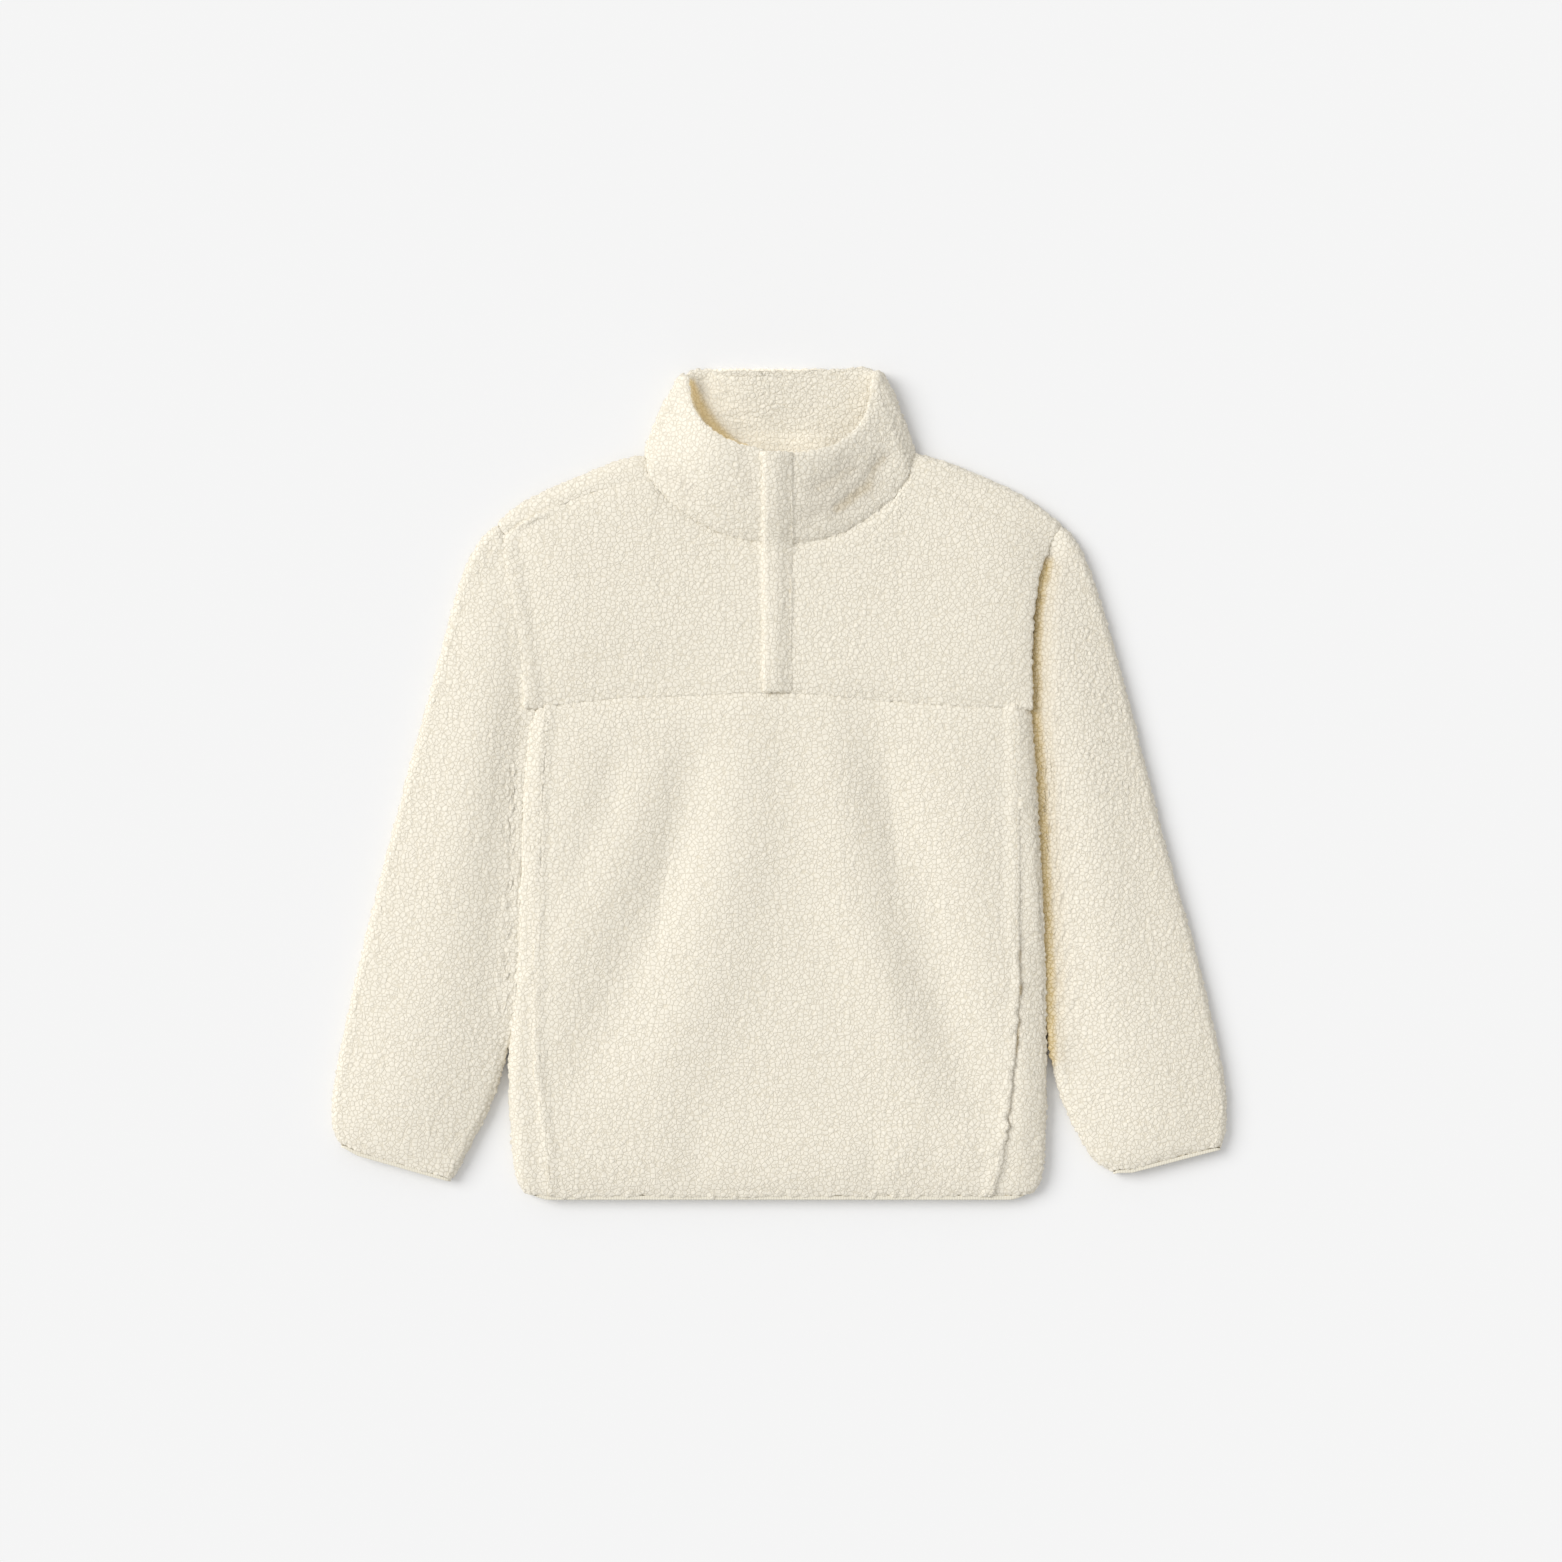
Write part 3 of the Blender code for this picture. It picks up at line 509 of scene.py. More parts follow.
Notch = namedtuple("Notch", "place swell")
NOTCHES = (Notch((-83, 373, 15), 3.4), Notch((86, 372, 15), 2.2))
NOTCH_REACH = 15 * MM
NOTCH_PUSH = (1, 0.3, 1)     # less along y, so that the top stays level


def level_top(points):
    """Lowers the collar's corners and fills the notch beside each of them."""
    places, moves = np.array(TOP_MOVES).T * MM
    upper = smooth((points[:, 1] - TOP_FROM) / (TOP_TO - TOP_FROM))
    points[:, 1] += np.interp(points[:, 0], places, moves) * upper
    return points


def close_notches(mesh):
    """Swells the cloth on both sides of the notch at each corner, so that they meet."""
    points, normals = read_points(mesh), read_points(mesh, "normal")
    for notch in NOTCHES:
        away = np.linalg.norm(points - np.array(notch.place) * MM, axis=1)
        swell = notch.swell * MM * (1 - smooth(away / NOTCH_REACH))
        points += normals * NOTCH_PUSH * swell[:, None]
    write_points(mesh, points)


reshape(pieces["collar"], level_top)
close_notches(pieces["collar"].data)
print("collar's top level, with", len(NOTCHES), "notches closed")

# %% The collar's creases
Crease = namedtuple("Crease", "start end width depth")
CREASES = (
    Crease((96, 292), (80, 272), 8.0, 1.9),
    Crease((80, 272), (54, 252), 10.0, 2.1),
    Crease((64, 284), (36, 266), 13.0, 1.7),
    Crease((44, 252), (26, 240), 9.0, 1.4),
    Crease((-96, 280), (-80, 262), 9.0, 0.9),
    Crease((-30, 296), (-26, 262), 7.0, 0.8),
)
NECK_HIGH = 18 * MM          # the creases are in what lies above this height
NECK_FADE = 4 * MM
FACING_UP = 0.3
CREASE_WANDER = 22 * MM
CREASE_BEND = 5 * MM


def crease_depth(points, crease):
    """How far a crease sinks the cloth at each point. Noise bends its line."""
    start, end = np.array(crease.start) * MM, np.array(crease.end) * MM
    run = end - start
    bent = push_about(points, CREASE_WANDER, CREASE_BEND, SALTS["crease"])[:, :2]
    along = (bent - start) @ run / (run @ run)
    nearest = start + np.clip(along, 0, 1)[:, None] * run
    away = np.linalg.norm(bent - nearest, axis=1)
    return crease.depth * MM * np.exp(-((away / (crease.width * MM)) ** 2))


def deepest_crease(points):
    return np.max([crease_depth(points, crease) for crease in CREASES], axis=0)


def above_neck(points):
    return smooth((points[:, 2] - NECK_HIGH) / NECK_FADE)


def sink_creases(mesh):
    points, normals = read_points(mesh), read_points(mesh, "normal")
    outer = above_neck(points) * smooth(normals[:, 2] / FACING_UP)
    points -= normals * (deepest_crease(points) * outer)[:, None]
    write_points(mesh, points)


sink_creases(pieces["collar"].data)
print(len(CREASES), "creases over the collar")

# %% The placket's edges
RIDGE = 0.5 * MM
RIDGE_REACH = 8 * MM
ROLL = 1.9 * MM              # how far its edge rolls down on the ridge's side
ROLL_REACH = 3.2 * MM
BLEND_DOWN = 2.8 * MM        # how far it sinks into the yoke on its other side
BLEND_SLOPE, BLEND_START = 1.6, 0.6
BOX_STITCH = 20 * MM         # height of the sewn box at the placket's foot
STITCH_DEPTH = 0.8 * MM
STITCH_WIDTH = 2 * MM


def shape_placket(points):
    """Rolls one long edge, sinks the other, and draws in a row of stitches near the foot."""
    left, right = points[:, 0].min(), points[:, 0].max()
    from_left = points[:, 0] - left
    across = from_left / (right - left)
    foot = points[:, 1].min() + BOX_STITCH
    ridge = RIDGE * (1 - smooth(from_left / RIDGE_REACH))
    roll = ROLL * (1 - smooth(from_left / ROLL_REACH))
    points[:, 2] += ridge - roll
    points[:, 2] -= BLEND_DOWN * smooth(across * BLEND_SLOPE - BLEND_START)
    points[:, 2] -= STITCH_DEPTH * np.exp(-((points[:, 1] - foot) / STITCH_WIDTH) ** 2)
    return points


reshape(pieces["placket"], shape_placket)
print("placket rolled and stitched")

# %% The cuffs' corners
ROUNDED = {"sleeve_left": "inner", "sleeve_right": "outer"}      # each cuff's rounded end
BLUNT = 5 * MM               # how far a rounded corner draws back
BLUNT_REACH = 22 * MM
Cuff = namedtuple("Cuff", "inner corner inward up middle")


def tape_of(sleeve):
    return tapes[sleeve.replace("sleeve", "cuff_binding")]


def measure_cuff(tape, rounded):
    """A cuff's inner end and rounded corner, the ways along and up from it, and its height."""
    points = read_points(tape.data)
    inner = points[np.argmin(np.abs(points[:, 0])), :2]
    outer = points[np.argmax(np.abs(points[:, 0])), :2]
    across = (outer - inner) / np.linalg.norm(outer - inner)
    up = np.array((-across[1], across[0]))
    up = up if up[1] > 0 else -up
    corner, inward = (inner, across) if rounded == "inner" else (outer, -across)
    return Cuff(inner, corner, inward, up, np.mean(points[:, 2]))


def blunt_corner(points, cuff):
    away = np.linalg.norm(points[:, :2] - cuff.corner, axis=1)
    move = (cuff.inward + cuff.up) / math.sqrt(2)
    points[:, :2] += move * (BLUNT * (1 - smooth(away / BLUNT_REACH)))[:, None]
    return points


cuffs = {sleeve: measure_cuff(tape_of(sleeve), end) for sleeve, end in ROUNDED.items()}
for sleeve, cuff in cuffs.items():
    reshape(tape_of(sleeve), blunt_corner, cuff)
    reshape(pieces[sleeve], blunt_corner, cuff)
print(len(cuffs), "corners of the cuffs rounded")

# %% [markdown]
# ## Which side of the cloth meets the air
#
# Each wall has a side that nobody sees, pressed on the table or on the next layer. Fine mesh would
# be wasted there. Rays sent out from each point tell the two apart: the share that flies clear says
# how open the place is. The same number later paints a golden shade into the pile's narrow places,
# in the tone of light that has passed through many fibres on the way.

# %% Measure how open each point is
FREE_FLIGHT = 45 * MM
RAY_START = 0.8 * MM
ABOVE_TABLE = 0.05 * MM
Ring = namedtuple("Ring", "tilt rays turned")            # degrees off the normal, and rays round it
RAY_RINGS = (Ring(0, 1, 0), Ring(30, 5, 0), Ring(58, 8, 0.5))
OPEN_ENOUGH = 0.12


def surroundings():
    """One search tree of all the cloth and the table."""
    points, faces = [], []
    for item in (*pieces.values(), table):
        start = len(points)
        points += [vertex.co.copy() for vertex in item.data.vertices]
        faces += [[start + v for v in face.vertices] for face in item.data.polygons]
    return BVHTree.FromPolygons(points, faces)


def ray_fan():
    """Directions round +Z, as offsets along two sides and the normal."""
    fan = []
    for ring in RAY_RINGS:
        tilt = math.radians(ring.tilt)
        for n in range(ring.rays):
            turn = 2 * math.pi * (n + ring.turned) / ring.rays
            fan.append((
                math.sin(tilt) * math.cos(turn), math.sin(tilt) * math.sin(turn), math.cos(tilt),
            ))
    return fan


def openness(piece, tree):
    """Share of the rays that fly clear, at each point of a piece."""
    share = np.zeros(len(piece.data.vertices))
    fan = ray_fan()
    for n, vertex in enumerate(piece.data.vertices):
        normal = vertex.normal
        side = normal.orthogonal().normalized()
        other = normal.cross(side)
        start = vertex.co + normal * RAY_START
        start.z = max(start.z, ABOVE_TABLE)
        clear = 0
        for a, b, c in fan:
            hit = tree.ray_cast(start, side * a + other * b + normal * c, FREE_FLIGHT)
            clear += hit[0] is None
        share[n] = clear / len(fan)
    return share


def write_value(mesh, name, values):
    attribute = mesh.attributes.get(name) or mesh.attributes.new(name, "FLOAT", "POINT")
    attribute.data.foreach_set("value", values.astype(np.float32))


def read_value(mesh, name):
    values = np.empty(len(mesh.vertices), np.float32)
    mesh.attributes[name].data.foreach_get("value", values)
    return values


tree = surroundings()
for piece in pieces.values():
    share = openness(piece, tree)
    write_value(piece.data, "open", share)
    print(f"{piece.name}: {np.mean(share > OPEN_ENOUGH):.0%} of its points meet the air")

# %% [markdown]
# ## A finer mesh where it shows
#
# Tufts are about five millimetres across, so the mesh needs a point every millimetre or two. Edges
# of open faces are halved until none is too long. Halving only the long ones keeps the faces even,
# also on a sleeve, whose cage has long thin faces.

# %% Halve the long edges
LONGEST = 2.15 * MM
LONGEST_ON_COLLAR = 1.8 * MM


def long_edges(mesh, longest):
    """Marks the edges in the open that are longer than they may be."""
    ends = np.empty(len(mesh.edges) * 2, int)
    mesh.edges.foreach_get("vertices", ends)
    ends = ends.reshape(-1, 2)
    points = read_points(mesh)
    lengths = np.linalg.norm(points[ends[:, 0]] - points[ends[:, 1]], axis=1)
    seen = read_value(mesh, "open") > OPEN_ENOUGH
    return (lengths > longest) & (seen[ends[:, 0]] | seen[ends[:, 1]])


def halve(piece, picked):
    """Cuts the picked edges of a piece in two."""
    use_only(piece)
    bpy.context.tool_settings.mesh_select_mode = (False, True, False)
    bpy.ops.object.mode_set(mode="EDIT")
    bpy.ops.mesh.select_all(action="DESELECT")
    bpy.ops.object.mode_set(mode="OBJECT")
    piece.data.edges.foreach_set("select", picked)
    bpy.ops.object.mode_set(mode="EDIT")
    bpy.ops.mesh.subdivide(number_cuts=1)
    bpy.ops.object.mode_set(mode="OBJECT")


for node, piece in pieces.items():
    longest = LONGEST_ON_COLLAR if node == "collar" else LONGEST
    picked = long_edges(piece.data, longest)
    while picked.any():
        halve(piece, picked)
        picked = long_edges(piece.data, longest)
    print(f"{piece.name}: {sum(len(face.vertices) - 2 for face in piece.data.polygons)} triangles")

# %% [markdown]
# ## Loose loops along the edges
#
# Pile is longest to the eye where an edge lets it stand free. Each side seam is left open for a hand.
# The front's edge stands up a little there, and its loops lean out unevenly over the back's edge. At
# the chest seam, the hem and the cuffs the loops hang over what lies below them, and round the
# collar's rim they stand out into its mouth. All of this is done on the fine mesh, which can follow
# single loops.

# %% The hand openings
Slit = namedtuple("Slit", "toward low high gape")
SLITS = (
    Slit(toward=-1, low=-300 * MM, high=-120 * MM, gape=0.9 * MM),
    Slit(toward=1, low=OPENING_LOW, high=OPENING_HIGH, gape=1.4 * MM),
)
SLIT_REACH = 8 * MM
SLIT_FADE = 14 * MM
LOOP = 5 * MM
CLUMP = 12 * MM
LOOP_SHARE, CLUMP_SHARE = 0.9, 0.8           # how much each makes the edge uneven


def raise_slit_edge(points, slit):
    """The front's edge stands up and leans out over the side seam."""
    from_edge = slit.toward * (side_line(points, slit.toward) - points[:, 0])
    wobble = 1 + LOOP_SHARE * soft_noise(points, LOOP, SALTS["slit loops"])
    wobble = wobble + CLUMP_SHARE * soft_noise(points, CLUMP, SALTS["slit clumps"])
    gape = slit.gape * wobble * between(points[:, 1], slit.low, slit.high, SLIT_FADE)
    near = 1 - smooth(from_edge / SLIT_REACH)
    points[:, 2] += gape * near
    points[:, 0] += slit.toward * gape * near
    return points


for slit in SLITS:
    reshape(pieces["front_lower"], raise_slit_edge, slit)
print(len(SLITS), "hand openings")

# %% The lower edges
HANG_REACH = 5 * MM
HANG_LIFT = 0.6              # a loop that hangs over also lies this much higher
HANGS = {"yoke_right": 0.9 * MM, "yoke_left": 0.9 * MM, "front_lower": 1.8 * MM}
UNEVEN = 0.8


def uneven(points, salt):
    """Lengths of loops about a mean of 0.8."""
    return UNEVEN + UNEVEN * soft_noise(points, LOOP, salt)


def hang_lower_edge(points, furthest):
    """The loops of a lower edge lean out unevenly over what lies below it."""
    turned = points[:, [1, 0, 2]]
    from_edge = points[:, 1] - side_line(turned, -1)
    hang = furthest * uneven(points, SALTS["lower edge"]) * (1 - smooth(from_edge / HANG_REACH))
    points[:, 1] -= hang
    points[:, 2] += HANG_LIFT * hang
    return points


for node, furthest in HANGS.items():
    reshape(pieces[node], hang_lower_edge, furthest)
print("loops hang from", ", ".join(HANGS))

# %% The cuffs' edges
CUFF_HANG = 2.0 * MM
CUFF_END_HANG = 3.4 * MM     # at the rounded corner, where the loops hide the tape
CUFF_END = 24 * MM
CUFF_LIFT = 0.4
CUFF_FADE = 2 * MM


def hang_cuff(points, cuff):
    """The loops of the upper layer hang over the tape, and hide it at the rounded corner."""
    from_end = np.linalg.norm(points[:, :2] - cuff.corner, axis=1)
    above = np.maximum((points[:, :2] - cuff.inner) @ cuff.up, 0)
    at_end = (CUFF_END_HANG - CUFF_HANG) * (1 - smooth(from_end / CUFF_END))
    furthest = CUFF_HANG * uneven(points, SALTS["cuff"]) + at_end
    upper = smooth((points[:, 2] - cuff.middle) / CUFF_FADE)
    hang = furthest * upper * (1 - smooth(above / HANG_REACH))
    points[:, :2] -= cuff.up * hang[:, None]
    points[:, 2] += CUFF_LIFT * hang
    return points


for sleeve, cuff in cuffs.items():
    reshape(pieces[sleeve], hang_cuff, cuff)
print("loops hang from", ", ".join(cuffs))

# %% The rim of the collar
RIM = (                      # x, y and the width of the painted shade behind the rim, in millimetres
    (-80, 364, 9), (-76, 350, 15), (-67, 334, 15), (-56, 321, 13), (-43, 311, 10), (-30, 305, 6),
)
RIM_LEVEL = 16 * MM
RIM_FADE = 3 * MM
RIM_REACH = 8 * MM
RIM_LOOP = 4.5 * MM
RIM_OUT = 1.7 * MM           # how far the longest loops stand out
RIM_BACK = -0.3              # how far the shortest ones lie back, as a share of that


def from_rim(points):
    """Distance from the rim's line, and the width of the shade behind it at the nearest place."""
    rim = np.array(RIM) * MM
    nearest, width = np.full(len(points), 1.0), np.zeros(len(points))
    for start, end in zip(rim, rim[1:]):
        run = (end - start)[:2]
        along = np.clip((points[:, :2] - start[:2]) @ run / (run @ run), 0, 1)
        away = np.linalg.norm(points[:, :2] - start[:2] - along[:, None] * run, axis=1)
        width = np.where(away < nearest, start[2] + along * (end[2] - start[2]), width)
        nearest = np.minimum(nearest, away)
    return nearest, width


def fray_rim(points):
    """Loops stand out unevenly from the rim into the collar's mouth."""
    nearest, _ = from_rim(points)
    loops = np.clip(soft_noise(points, RIM_LOOP, SALTS["rim"]), RIM_BACK, 1)
    upper = smooth((points[:, 2] - RIM_LEVEL) / RIM_FADE)
    out = RIM_OUT * loops * upper * (1 - smooth(nearest / RIM_REACH))
    return points + toward_mouth(points) * out[:, None]


reshape(pieces["collar"], fray_rim)
print("collar's rim frayed")

# %% [markdown]
# ## Tufts
#
# The points are pushed about by a soft noise first, which bends the round cells of the Worley noise
# into the short worm-like curls of real sherpa. Each point then moves out along its normal. Where
# the cloth is seen from its side the loops stand free, so the pile is longer and rougher there.

# %% Raise the pile
TUFT = 4.9 * MM
TUFT_HEIGHT = 0.8 * MM
CURL = TUFT * 1.1
CURL_BEND = 0.8 * MM
DOME = 4.5                   # how steeply a tuft rises from its crevice
SHORTEST, VARIATION = 0.72, 0.28             # the tufts' heights, as shares of the tallest
FUZZ = 2.5 * MM
FUZZ_HEIGHT = 0.3 * MM
SINK = 0.4 * MM
GROOVE_FILL = 0.9 * MM       # how far the pile swells into narrow places, so that it closes seams
GROOVE_OPEN, GROOVE_RUN = 0.3, 0.5           # from narrow to open, in shares of clear rays
SHAG = 0.9                   # how much longer the tufts are where the cloth is seen from its side
ROUGHER = 3.6                # and how much rougher


def tufts(points):
    """Height of the pile from 0 in a crevice to about 1 on a tuft."""
    bent = push_about(points, CURL, CURL_BEND, SALTS["curl"])
    first, second, number = worley(bent, TUFT, SALTS["tuft"])
    dome = 1 - np.exp(-(second - first) * DOME)
    return dome * (SHORTEST + VARIATION * number)


def raise_pile(piece):
    """Moves the open side of a piece out to its tufts, and keeps their height as an attribute."""
    mesh = piece.data
    points, normals = read_points(mesh), read_points(mesh, "normal")
    share = read_value(mesh, "open")
    seen = np.clip(share / OPEN_ENOUGH, 0, 1)
    level = smooth((share - GROOVE_OPEN) / GROOVE_RUN)
    height = tufts(points)
    sideways = 1 - np.abs(normals[:, 2])
    loops = TUFT_HEIGHT * height * (1 + SHAG * sideways)
    fuzz = FUZZ_HEIGHT * soft_noise(points, FUZZ, SALTS["fuzz"]) * (1 + ROUGHER * sideways)
    move = (loops + fuzz) * seen - SINK * level + GROOVE_FILL * (1 - level)
    points += normals * move[:, None]
    points[:, 2] = np.maximum(points[:, 2], 0)
    write_points(mesh, points)
    write_value(mesh, "nap", height)


for piece in pieces.values():
    raise_pile(piece)
print("pile raised on", len(pieces), "pieces")

# %% [markdown]
# ## Painted golden shade and glow
#
# Two places are so deep that all their light would have come through the fleece: the valley between
# the body and the left sleeve, and the inside of the collar behind its rim on the right. A golden
# shade is painted on them through the attribute "shade". The same attribute paints a weaker shade,
# which is grey and not golden, into the collar's creases and in spots along the left hand opening. A
# second attribute paints a glow on the collar's inside, which the rim in front of it keeps half in
# shade; the painted glow stands for the light through that rim.

# %% Paint shade and glow into the deepest places
# painted shade in the valley between the body and the left sleeve
VALLEY_WIDTH = 19 * MM
VALLEY_SLOPE = 38 * MM       # the shade thins out over the slope, to this distance from the body
SLOPE_START = 10 * MM
SLOPE_SHADE = 0.5
VALLEY_SHADE_LOW, VALLEY_SHADE_HIGH, VALLEY_SHADE_FADE = -250 * MM, 196 * MM, 24 * MM

RIM_SHADE_FADE = 6 * MM      # the painted shade fades out over this height above the rim's level
INNER_SLOPE, INNER_START = 5, 0.4            # how soon a side counts as the rim's inner one

# painted shade in spots along the left hand opening
SPOT = 11 * MM
SPOT_MEAN, SPOT_CONTRAST = 0.35, 1.3
SPOT_SHADE = 0.75
SPOT_WIDTH = 2.4 * MM
FULL_SHADE = 3.7 * MM        # a crease as deep as this would get the full painted shade

MOUTH_WIDTH = 62 * MM
MOUTH_FADE = 14 * MM
MOUTH_SHAPE = (1, 1.15, 0)                   # narrower along y, at any height
LAMP_START, LAMP_RUN = 5 * MM, 50 * MM       # from here on the lamp reaches the collar's inside


def valley_shade(points):
    """Painted shade: 1 where the sleeve meets the body, and 0 outside the valley."""
    body = np.concatenate([read_points(pieces[node].data) for node in ("back", "yoke_left")])
    from_body = points[:, 0] - side_line(points, 1, body)
    down_slope = (from_body - SLOPE_START) / (VALLEY_SLOPE - SLOPE_START)
    across = np.maximum(1 - smooth(from_body / VALLEY_WIDTH), SLOPE_SHADE * (1 - smooth(down_slope)))
    return across * between(points[:, 1], VALLEY_SHADE_LOW, VALLEY_SHADE_HIGH, VALLEY_SHADE_FADE)


def mouth_shade(points, normals):
    """Painted shade: 1 deep behind the collar's rim on the right, and on the rim's inner side."""
    facing = np.sum(toward_mouth(points) * normals, axis=1)
    below = 1 - smooth((points[:, 2] - RIM_LEVEL) / RIM_SHADE_FADE)
    inside = np.maximum(below, smooth(facing * INNER_SLOPE - INNER_START))
    nearest, width = from_rim(points)
    return (1 - smooth(nearest / width)) * inside


def slit_shade(points):
    """Painted shade in spots along the edge of the hand opening on the left."""
    line = side_line(points, 1, read_points(pieces["front_lower"].data))
    shade_spots = SPOT_MEAN + SPOT_CONTRAST * soft_noise(points, SPOT, SALTS["shade_spots"])
    shade_spots = np.clip(shade_spots, 0, 1) * (points[:, 2] > UPPER)
    near = np.exp(-((points[:, 0] - line) / SPOT_WIDTH) ** 2)
    return SPOT_SHADE * shade_spots * at_opening(points, 1) * near


def crease_shade(points):
    """Painted shade: a little more than a half in the deepest of the collar's creases."""
    return above_neck(points) * deepest_crease(points) / FULL_SHADE


def mouth_light(points, share):
    """Painted glow: 1 where half of the air is open inside the collar's mouth, and the lamp doesn't
    reach.
    """
    away = np.linalg.norm((points - np.array(MOUTH)) * MOUTH_SHAPE, axis=1)
    lit = smooth((points[:, 0] - LAMP_START) / LAMP_RUN)
    return 4 * share * (1 - share) * (1 - smooth((away - MOUTH_WIDTH) / MOUTH_FADE)) * (1 - lit)


def shade_and_light(node, mesh):
    """The painted shade and the painted glow at the points of one piece."""
    points = read_points(mesh)
    none = np.zeros(len(points))
    if node == "sleeve_left":
        return valley_shade(points), none
    if node in ("back", "front_lower"):
        return slit_shade(points), none
    if node == "collar":
        rim_shade = mouth_shade(points, read_points(mesh, "normal"))
        painted_glow = np.maximum(mouth_light(points, read_value(mesh, "open")), rim_shade)
        return np.maximum(rim_shade, crease_shade(points)), painted_glow
    return none, none


# painted shade and painted glow, kept on each piece for its material
for node, piece in pieces.items():
    shade, painted_glow = shade_and_light(node, piece.data)
    write_value(piece.data, "shade", shade)
    write_value(piece.data, "painted_glow", painted_glow)
    print(f"{piece.name}: shade up to {shade.max():.2f}, light up to {painted_glow.max():.2f}")

# %% [markdown]
# ## Shader maths as Python
#
# A wrapped socket lets a formula be written as a formula: each operator adds the Math node that it
# stands for. Colours go through Mix nodes, because a Math node would turn them grey.

# %% A small language for nodes
OBJECT_PLACE, FACTOR, NOISE_COLOUR = 3, 2, 1      # outputs of Texture Coordinate, Attribute, Noise
MIX_FACTOR, MIX_A, MIX_B, MIXED = 0, 6, 7, 2      # sockets and output of a Mix node for colours


class Value:
    """A socket that adds Math nodes when it is used in an expression."""

    def __init__(self, finish, socket):
        self.finish = finish
        self.socket = socket

    def maths(self, operation, *others):
        return self.finish.add("Math", {"operation": operation}, dict(enumerate(others)))

    def __add__(self, other):
        return self.maths("ADD", self, other)

    def __mul__(self, other):
        return self.maths("MULTIPLY", self, other)

    def __sub__(self, other):
        return self.maths("SUBTRACT", self, other)

    def __rsub__(self, other):
        return self.maths("SUBTRACT", other, self)

    def limited(self):
        return self.maths("MINIMUM", self.maths("MAXIMUM", self, 0), 1)


class Finish:
    """A material whose nodes are added one by one."""

    def __init__(self, name):
        self.material = bpy.data.materials.new(name)
        self.material.use_nodes = True
        self.tree = self.material.node_tree
        self.shader = self.tree.nodes["Principled BSDF"]

    def add(self, kind, settings=None, inputs=None, output=0):
        node = self.tree.nodes.new(f"ShaderNode{kind}")
        for key, value in (settings or {}).items():
            setattr(node, key, value)
        for key, value in (inputs or {}).items():
            self.feed(node.inputs[key], value)
        return Value(self, node.outputs[output])

    def feed(self, socket, value):
        if isinstance(value, Value):
            self.tree.links.new(value.socket, socket)
        else:
            socket.default_value = value

    def set(self, **inputs):
        for key, value in inputs.items():
            self.feed(self.shader.inputs[key.replace("_", " ")], value)

    def mark(self, name):
        """A point attribute of the mesh."""
        return self.add("Attribute", {"attribute_name": name}, output=FACTOR)

    def noise(self, place, per_metre, output=0, **settings):
        inputs = {"Vector": place, "Scale": per_metre, **settings}
        return self.add("TexNoise", None, inputs, output)

    def mix(self, share, first, second):
        """A colour between two."""
        inputs = {MIX_FACTOR: share, MIX_A: first, MIX_B: second}
        return self.add("Mix", {"data_type": "RGBA"}, inputs, output=MIXED)


print("nodes can be written as formulas")

# %% [markdown]
# ## The fleece's finish
#
# The colour follows three measures, and much of it is painted shade. Tips are the palest, and the
# crevices between tufts are a little darker and warmer, a painted shade. Deep places, where the cloth
# is not open to the air, get a painted golden shade, and places marked with a weak shade get a
# painted grey one. The collar's inside gets a faint painted glow, which stands for the light that
# comes through the fleece. Loops that the mesh is too coarse for are a bump, and a little sheen
# gives the edges their soft bright line.

# %% Cream sherpa
TIP = (0.86, 0.81, 0.70, 1)
# painted shade: the crevices between tufts are darker than the tips
CREVICE = (0.73, 0.665, 0.53, 1)
# the colour of the painted grey shade
GREY_SHADE_COLOUR = (0.61, 0.555, 0.46, 1)
# the colours of the painted golden shade, on tips and in crevices
GOLDEN_SHADE_TIP = (0.66, 0.53, 0.30, 1)
GOLDEN_SHADE_CREVICE = (0.48, 0.35, 0.14, 1)
# the colours of the painted glow
GLOW = (0.86, 0.78, 0.63, 1)
GOLDEN_GLOW = (0.72, 0.56, 0.31, 1)
BLACK = (0, 0, 0, 1)
SHEEN = (1, 0.97, 0.90, 1)
PAINTED_GLOW_STRENGTH = 0.36          # strength of the painted glow, which stands for light through the fleece

CURLS_PER_METRE = 900
FIBRES_PER_METRE = 2300
CLOUDS_PER_METRE = 14
WANDER_PER_METRE = 420
PEBBLES_PER_METRE = 250
PEBBLE_BEND = 1.3 * MM
PEBBLE_SLOPE = 5.5

PALE_NAP, PALE_TUFT, PALE_CURL = 0.25, 0.7, 0.25         # what makes a place paler: tall tufts, whose crevices keep a painted shade, and random curls
PALE_START = 0.045
CLOUD_CONTRAST, CLOUD_START, CLOUDINESS = 0.5, 0.1, 0.18
DEEP_BELOW, DEEP_SLOPE = 0.22, 1.2           # places less open than this get a painted golden shade
DIM_SHARE, DIM_LESS_ON_TIPS = 1.3, 0.7
GOLD_SLOPE, GOLD_START = 1.7, 0.7            # a weak painted shade is grey, and a strong one is golden
GOLD_SHARE, GOLD_LESS_ON_TIPS = 1.4, 0.5
RELIEF = 0.9 * MM
RELIEF_TUFT, RELIEF_CURL, RELIEF_FIBRE = 0.85, 0.2, 0.1

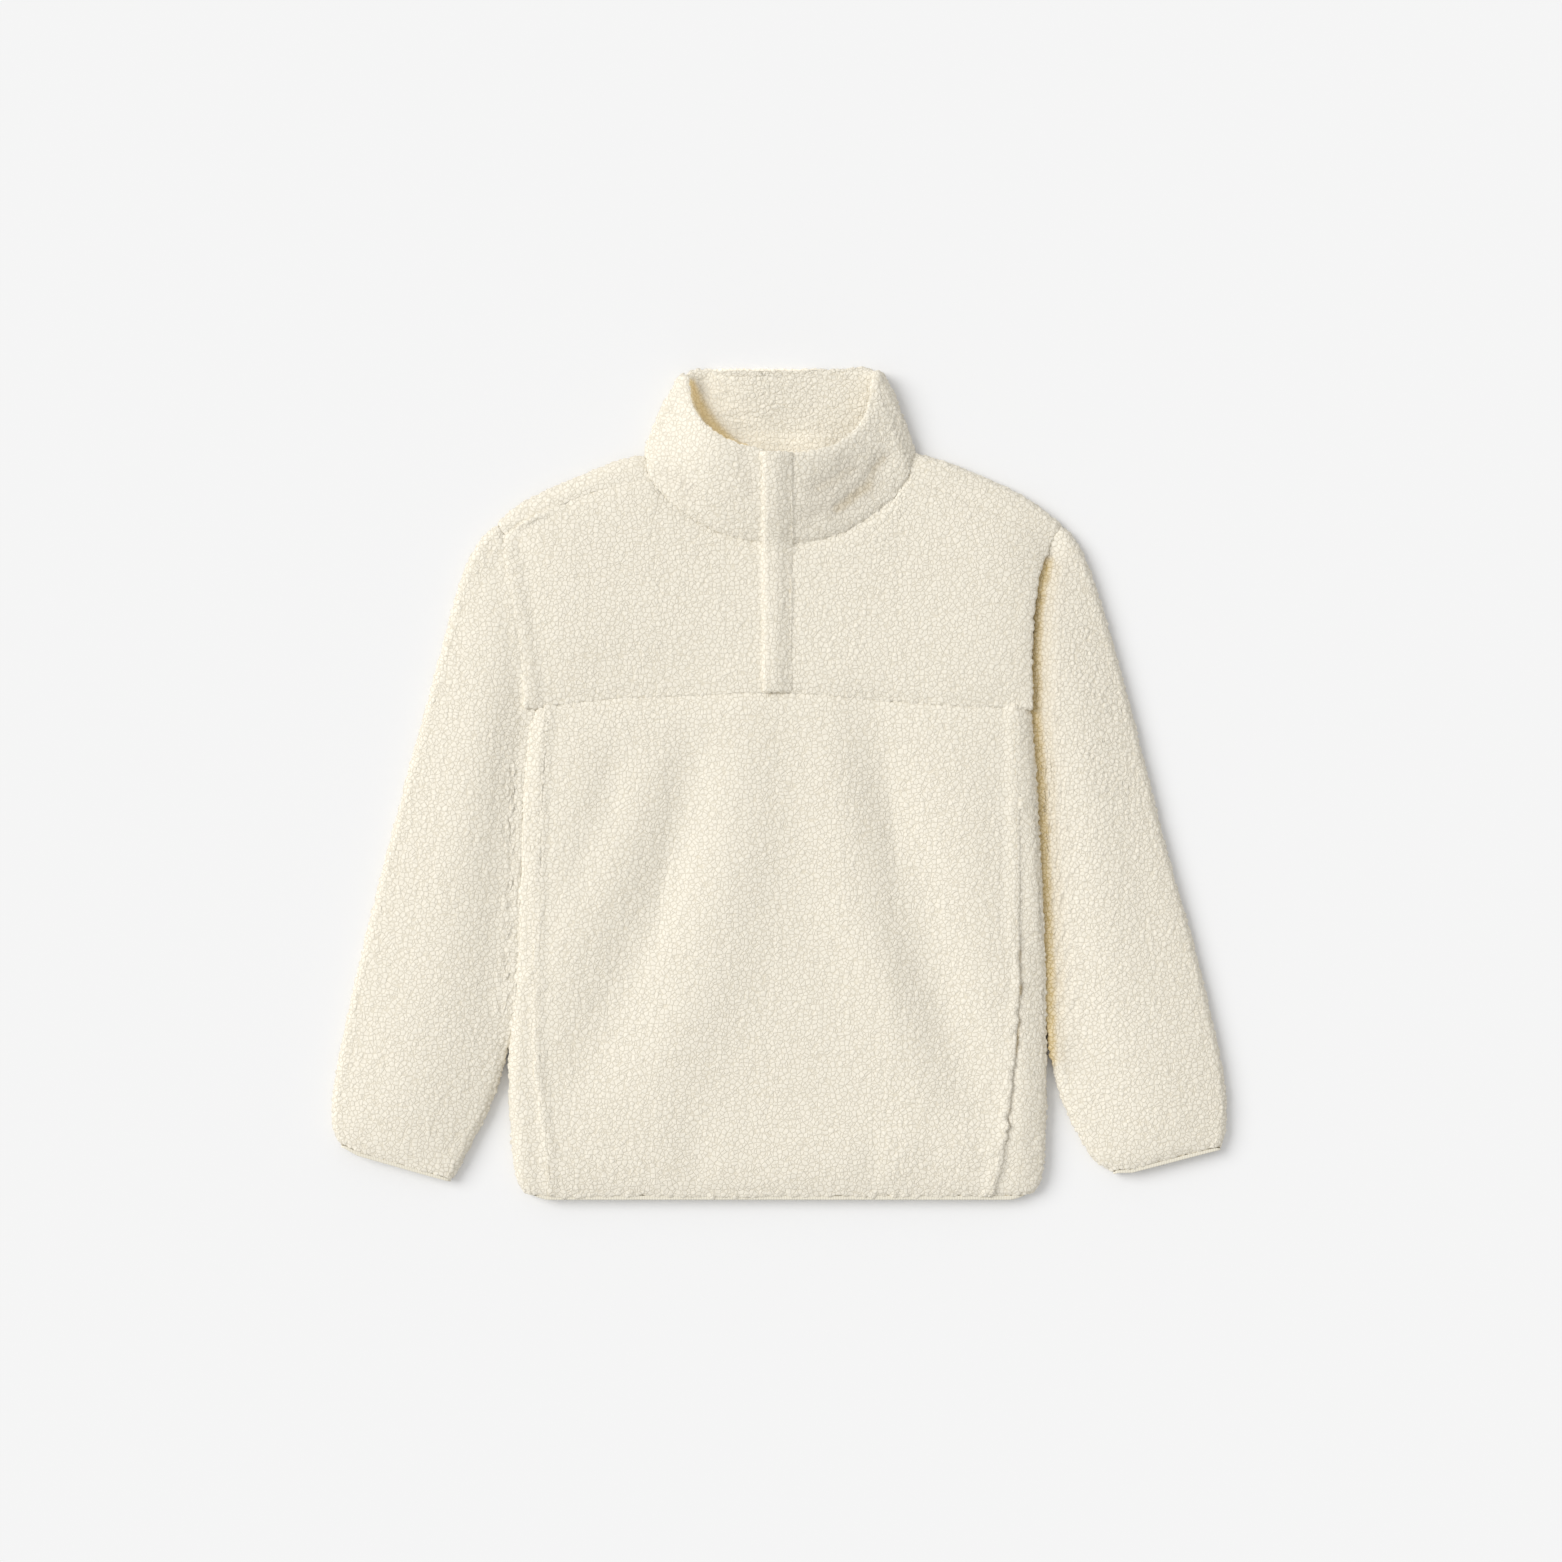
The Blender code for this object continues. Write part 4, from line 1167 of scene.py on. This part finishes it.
sherpa = Finish("cream sherpa")
place = sherpa.add("TexCoord", output=OBJECT_PLACE)
nap, air = sherpa.mark("nap"), sherpa.mark("open")
shade, painted_glow = sherpa.mark("shade"), sherpa.mark("painted_glow")
curls = sherpa.noise(place, CURLS_PER_METRE, Detail=2, Distortion=0.2)
fibres = sherpa.noise(place, FIBRES_PER_METRE, Detail=2, Distortion=0.4)
clouds = sherpa.noise(place, CLOUDS_PER_METRE, Detail=2)
wander = sherpa.noise(place, WANDER_PER_METRE, output=NOISE_COLOUR, Detail=1)
bent = sherpa.add(
    "VectorMath", {"operation": "MULTIPLY_ADD"}, {0: wander, 1: (PEBBLE_BEND,) * 3, 2: place},
)
pebble = sherpa.add(
    "TexVoronoi", {"feature": "DISTANCE_TO_EDGE"}, {"Vector": bent, "Scale": PEBBLES_PER_METRE},
)
round_tuft = (pebble * PEBBLE_SLOPE).limited()
round_tuft = round_tuft * (2 - round_tuft)

# tips paler than the crevices between them, a painted shade, with random curls in the tone
pale = nap * PALE_NAP + round_tuft * PALE_TUFT + curls * PALE_CURL - PALE_START
pale = pale.limited()
pile_colour = sherpa.mix(pale, CREVICE, TIP)
cloudy = (clouds * CLOUD_CONTRAST - CLOUD_START).limited() * CLOUDINESS
pile_colour = sherpa.mix(cloudy, pile_colour, CREVICE)
# painted grey shade where the attribute shade marks it, weaker on the tips
grey_shade = (shade * (DIM_SHARE - pale * DIM_LESS_ON_TIPS)).limited()
pile_colour = sherpa.mix(grey_shade, pile_colour, GREY_SHADE_COLOUR)
# painted golden shade where little air reaches, and where the attribute shade is strong
cavity_shade = (DEEP_BELOW - air * DEEP_SLOPE).limited()
golden_shade = (shade * GOLD_SLOPE - GOLD_START).limited() * (GOLD_SHARE - pale * GOLD_LESS_ON_TIPS)
golden_shade_colour = sherpa.mix(pale, GOLDEN_SHADE_CREVICE, GOLDEN_SHADE_TIP)
pile_colour = sherpa.mix((cavity_shade + golden_shade).limited(), pile_colour, golden_shade_colour)

# a painted glow on the collar's inside, golden where the painted shade is strong
painted_glow_colour = sherpa.mix(painted_glow, BLACK, sherpa.mix(shade, GLOW, GOLDEN_GLOW))
loops = round_tuft * RELIEF_TUFT + curls * RELIEF_CURL + fibres * RELIEF_FIBRE
relief = sherpa.add("Bump", None, {"Strength": 0.55, "Distance": RELIEF, "Height": loops})
sherpa.set(
    Base_Color=pile_colour, Roughness=0.92, Normal=relief, Specular_IOR_Level=0.15,
    Sheen_Weight=0.25, Sheen_Roughness=0.45, Sheen_Tint=SHEEN,
    Emission_Color=painted_glow_colour, Emission_Strength=PAINTED_GLOW_STRENGTH,
)
print(f"{sherpa.material.name}: {len(sherpa.tree.nodes)} nodes")

# %% [markdown]
# ## The bindings
#
# The hem and the cuffs end in a narrow elastic tape. It is a fine knit, with ribs that run across
# it, and the loops of the fleece hang over most of it.

# %% Knit tape
TAPE_PALE = (0.80, 0.755, 0.64, 1)
TAPE_DARK = (0.70, 0.65, 0.53, 1)
RIBS_PER_METRE = 420
YARN_PER_METRE = 1500
PALE_RIB, PALE_YARN = 0.7, 0.4
TAPE_RELIEF = 0.4 * MM
RELIEF_RIB, RELIEF_YARN = 0.7, 0.3

knit = Finish("knit tape")
place = knit.add("TexCoord", output=OBJECT_PLACE)
ribs = knit.add("TexWave", {"bands_direction": "X"}, {
    "Vector": place, "Scale": RIBS_PER_METRE / math.pi, "Distortion": 1.2, "Detail": 2,
})
yarn = knit.noise(place, YARN_PER_METRE, Detail=2)
pale = (ribs * PALE_RIB + yarn * PALE_YARN).limited()
stitches = ribs * RELIEF_RIB + yarn * RELIEF_YARN
relief = knit.add("Bump", None, {"Strength": 0.5, "Distance": TAPE_RELIEF, "Height": stitches})
knit.set(Base_Color=knit.mix(pale, TAPE_DARK, TAPE_PALE), Roughness=0.85, Normal=relief)
print(f"{knit.material.name}: {len(knit.tree.nodes)} nodes")

# %% [markdown]
# ## In place of the plain walls
#
# Each finished piece takes the place of the wall that it was made from. It gets its finish and rides
# on the root, and the wall is hidden.

# %% Ride, finish and replace
for parts, finish, slot in ((pieces, sherpa, "sherpa_fleece"), (tapes, knit, "elastic_binding")):
    for node, piece in parts.items():
        piece.data.materials.append(finish.material)
        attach(piece, "root")
        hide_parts(node)
    print(f"{slot}: {len(parts)} pieces")

# %% [markdown]
# ## The cut
#
# Each piece was cut flat before it was sewn. The sizes are those of the flat pieces: the width and
# the length of the smallest rectangle that holds the cut, and the area of the cut itself. A sleeve
# is cut in one piece and sewn into a tube, so its width goes all the way round.

# %% State the sheets
Sheet = namedtuple("Sheet", "node width length area rests_on tapes")
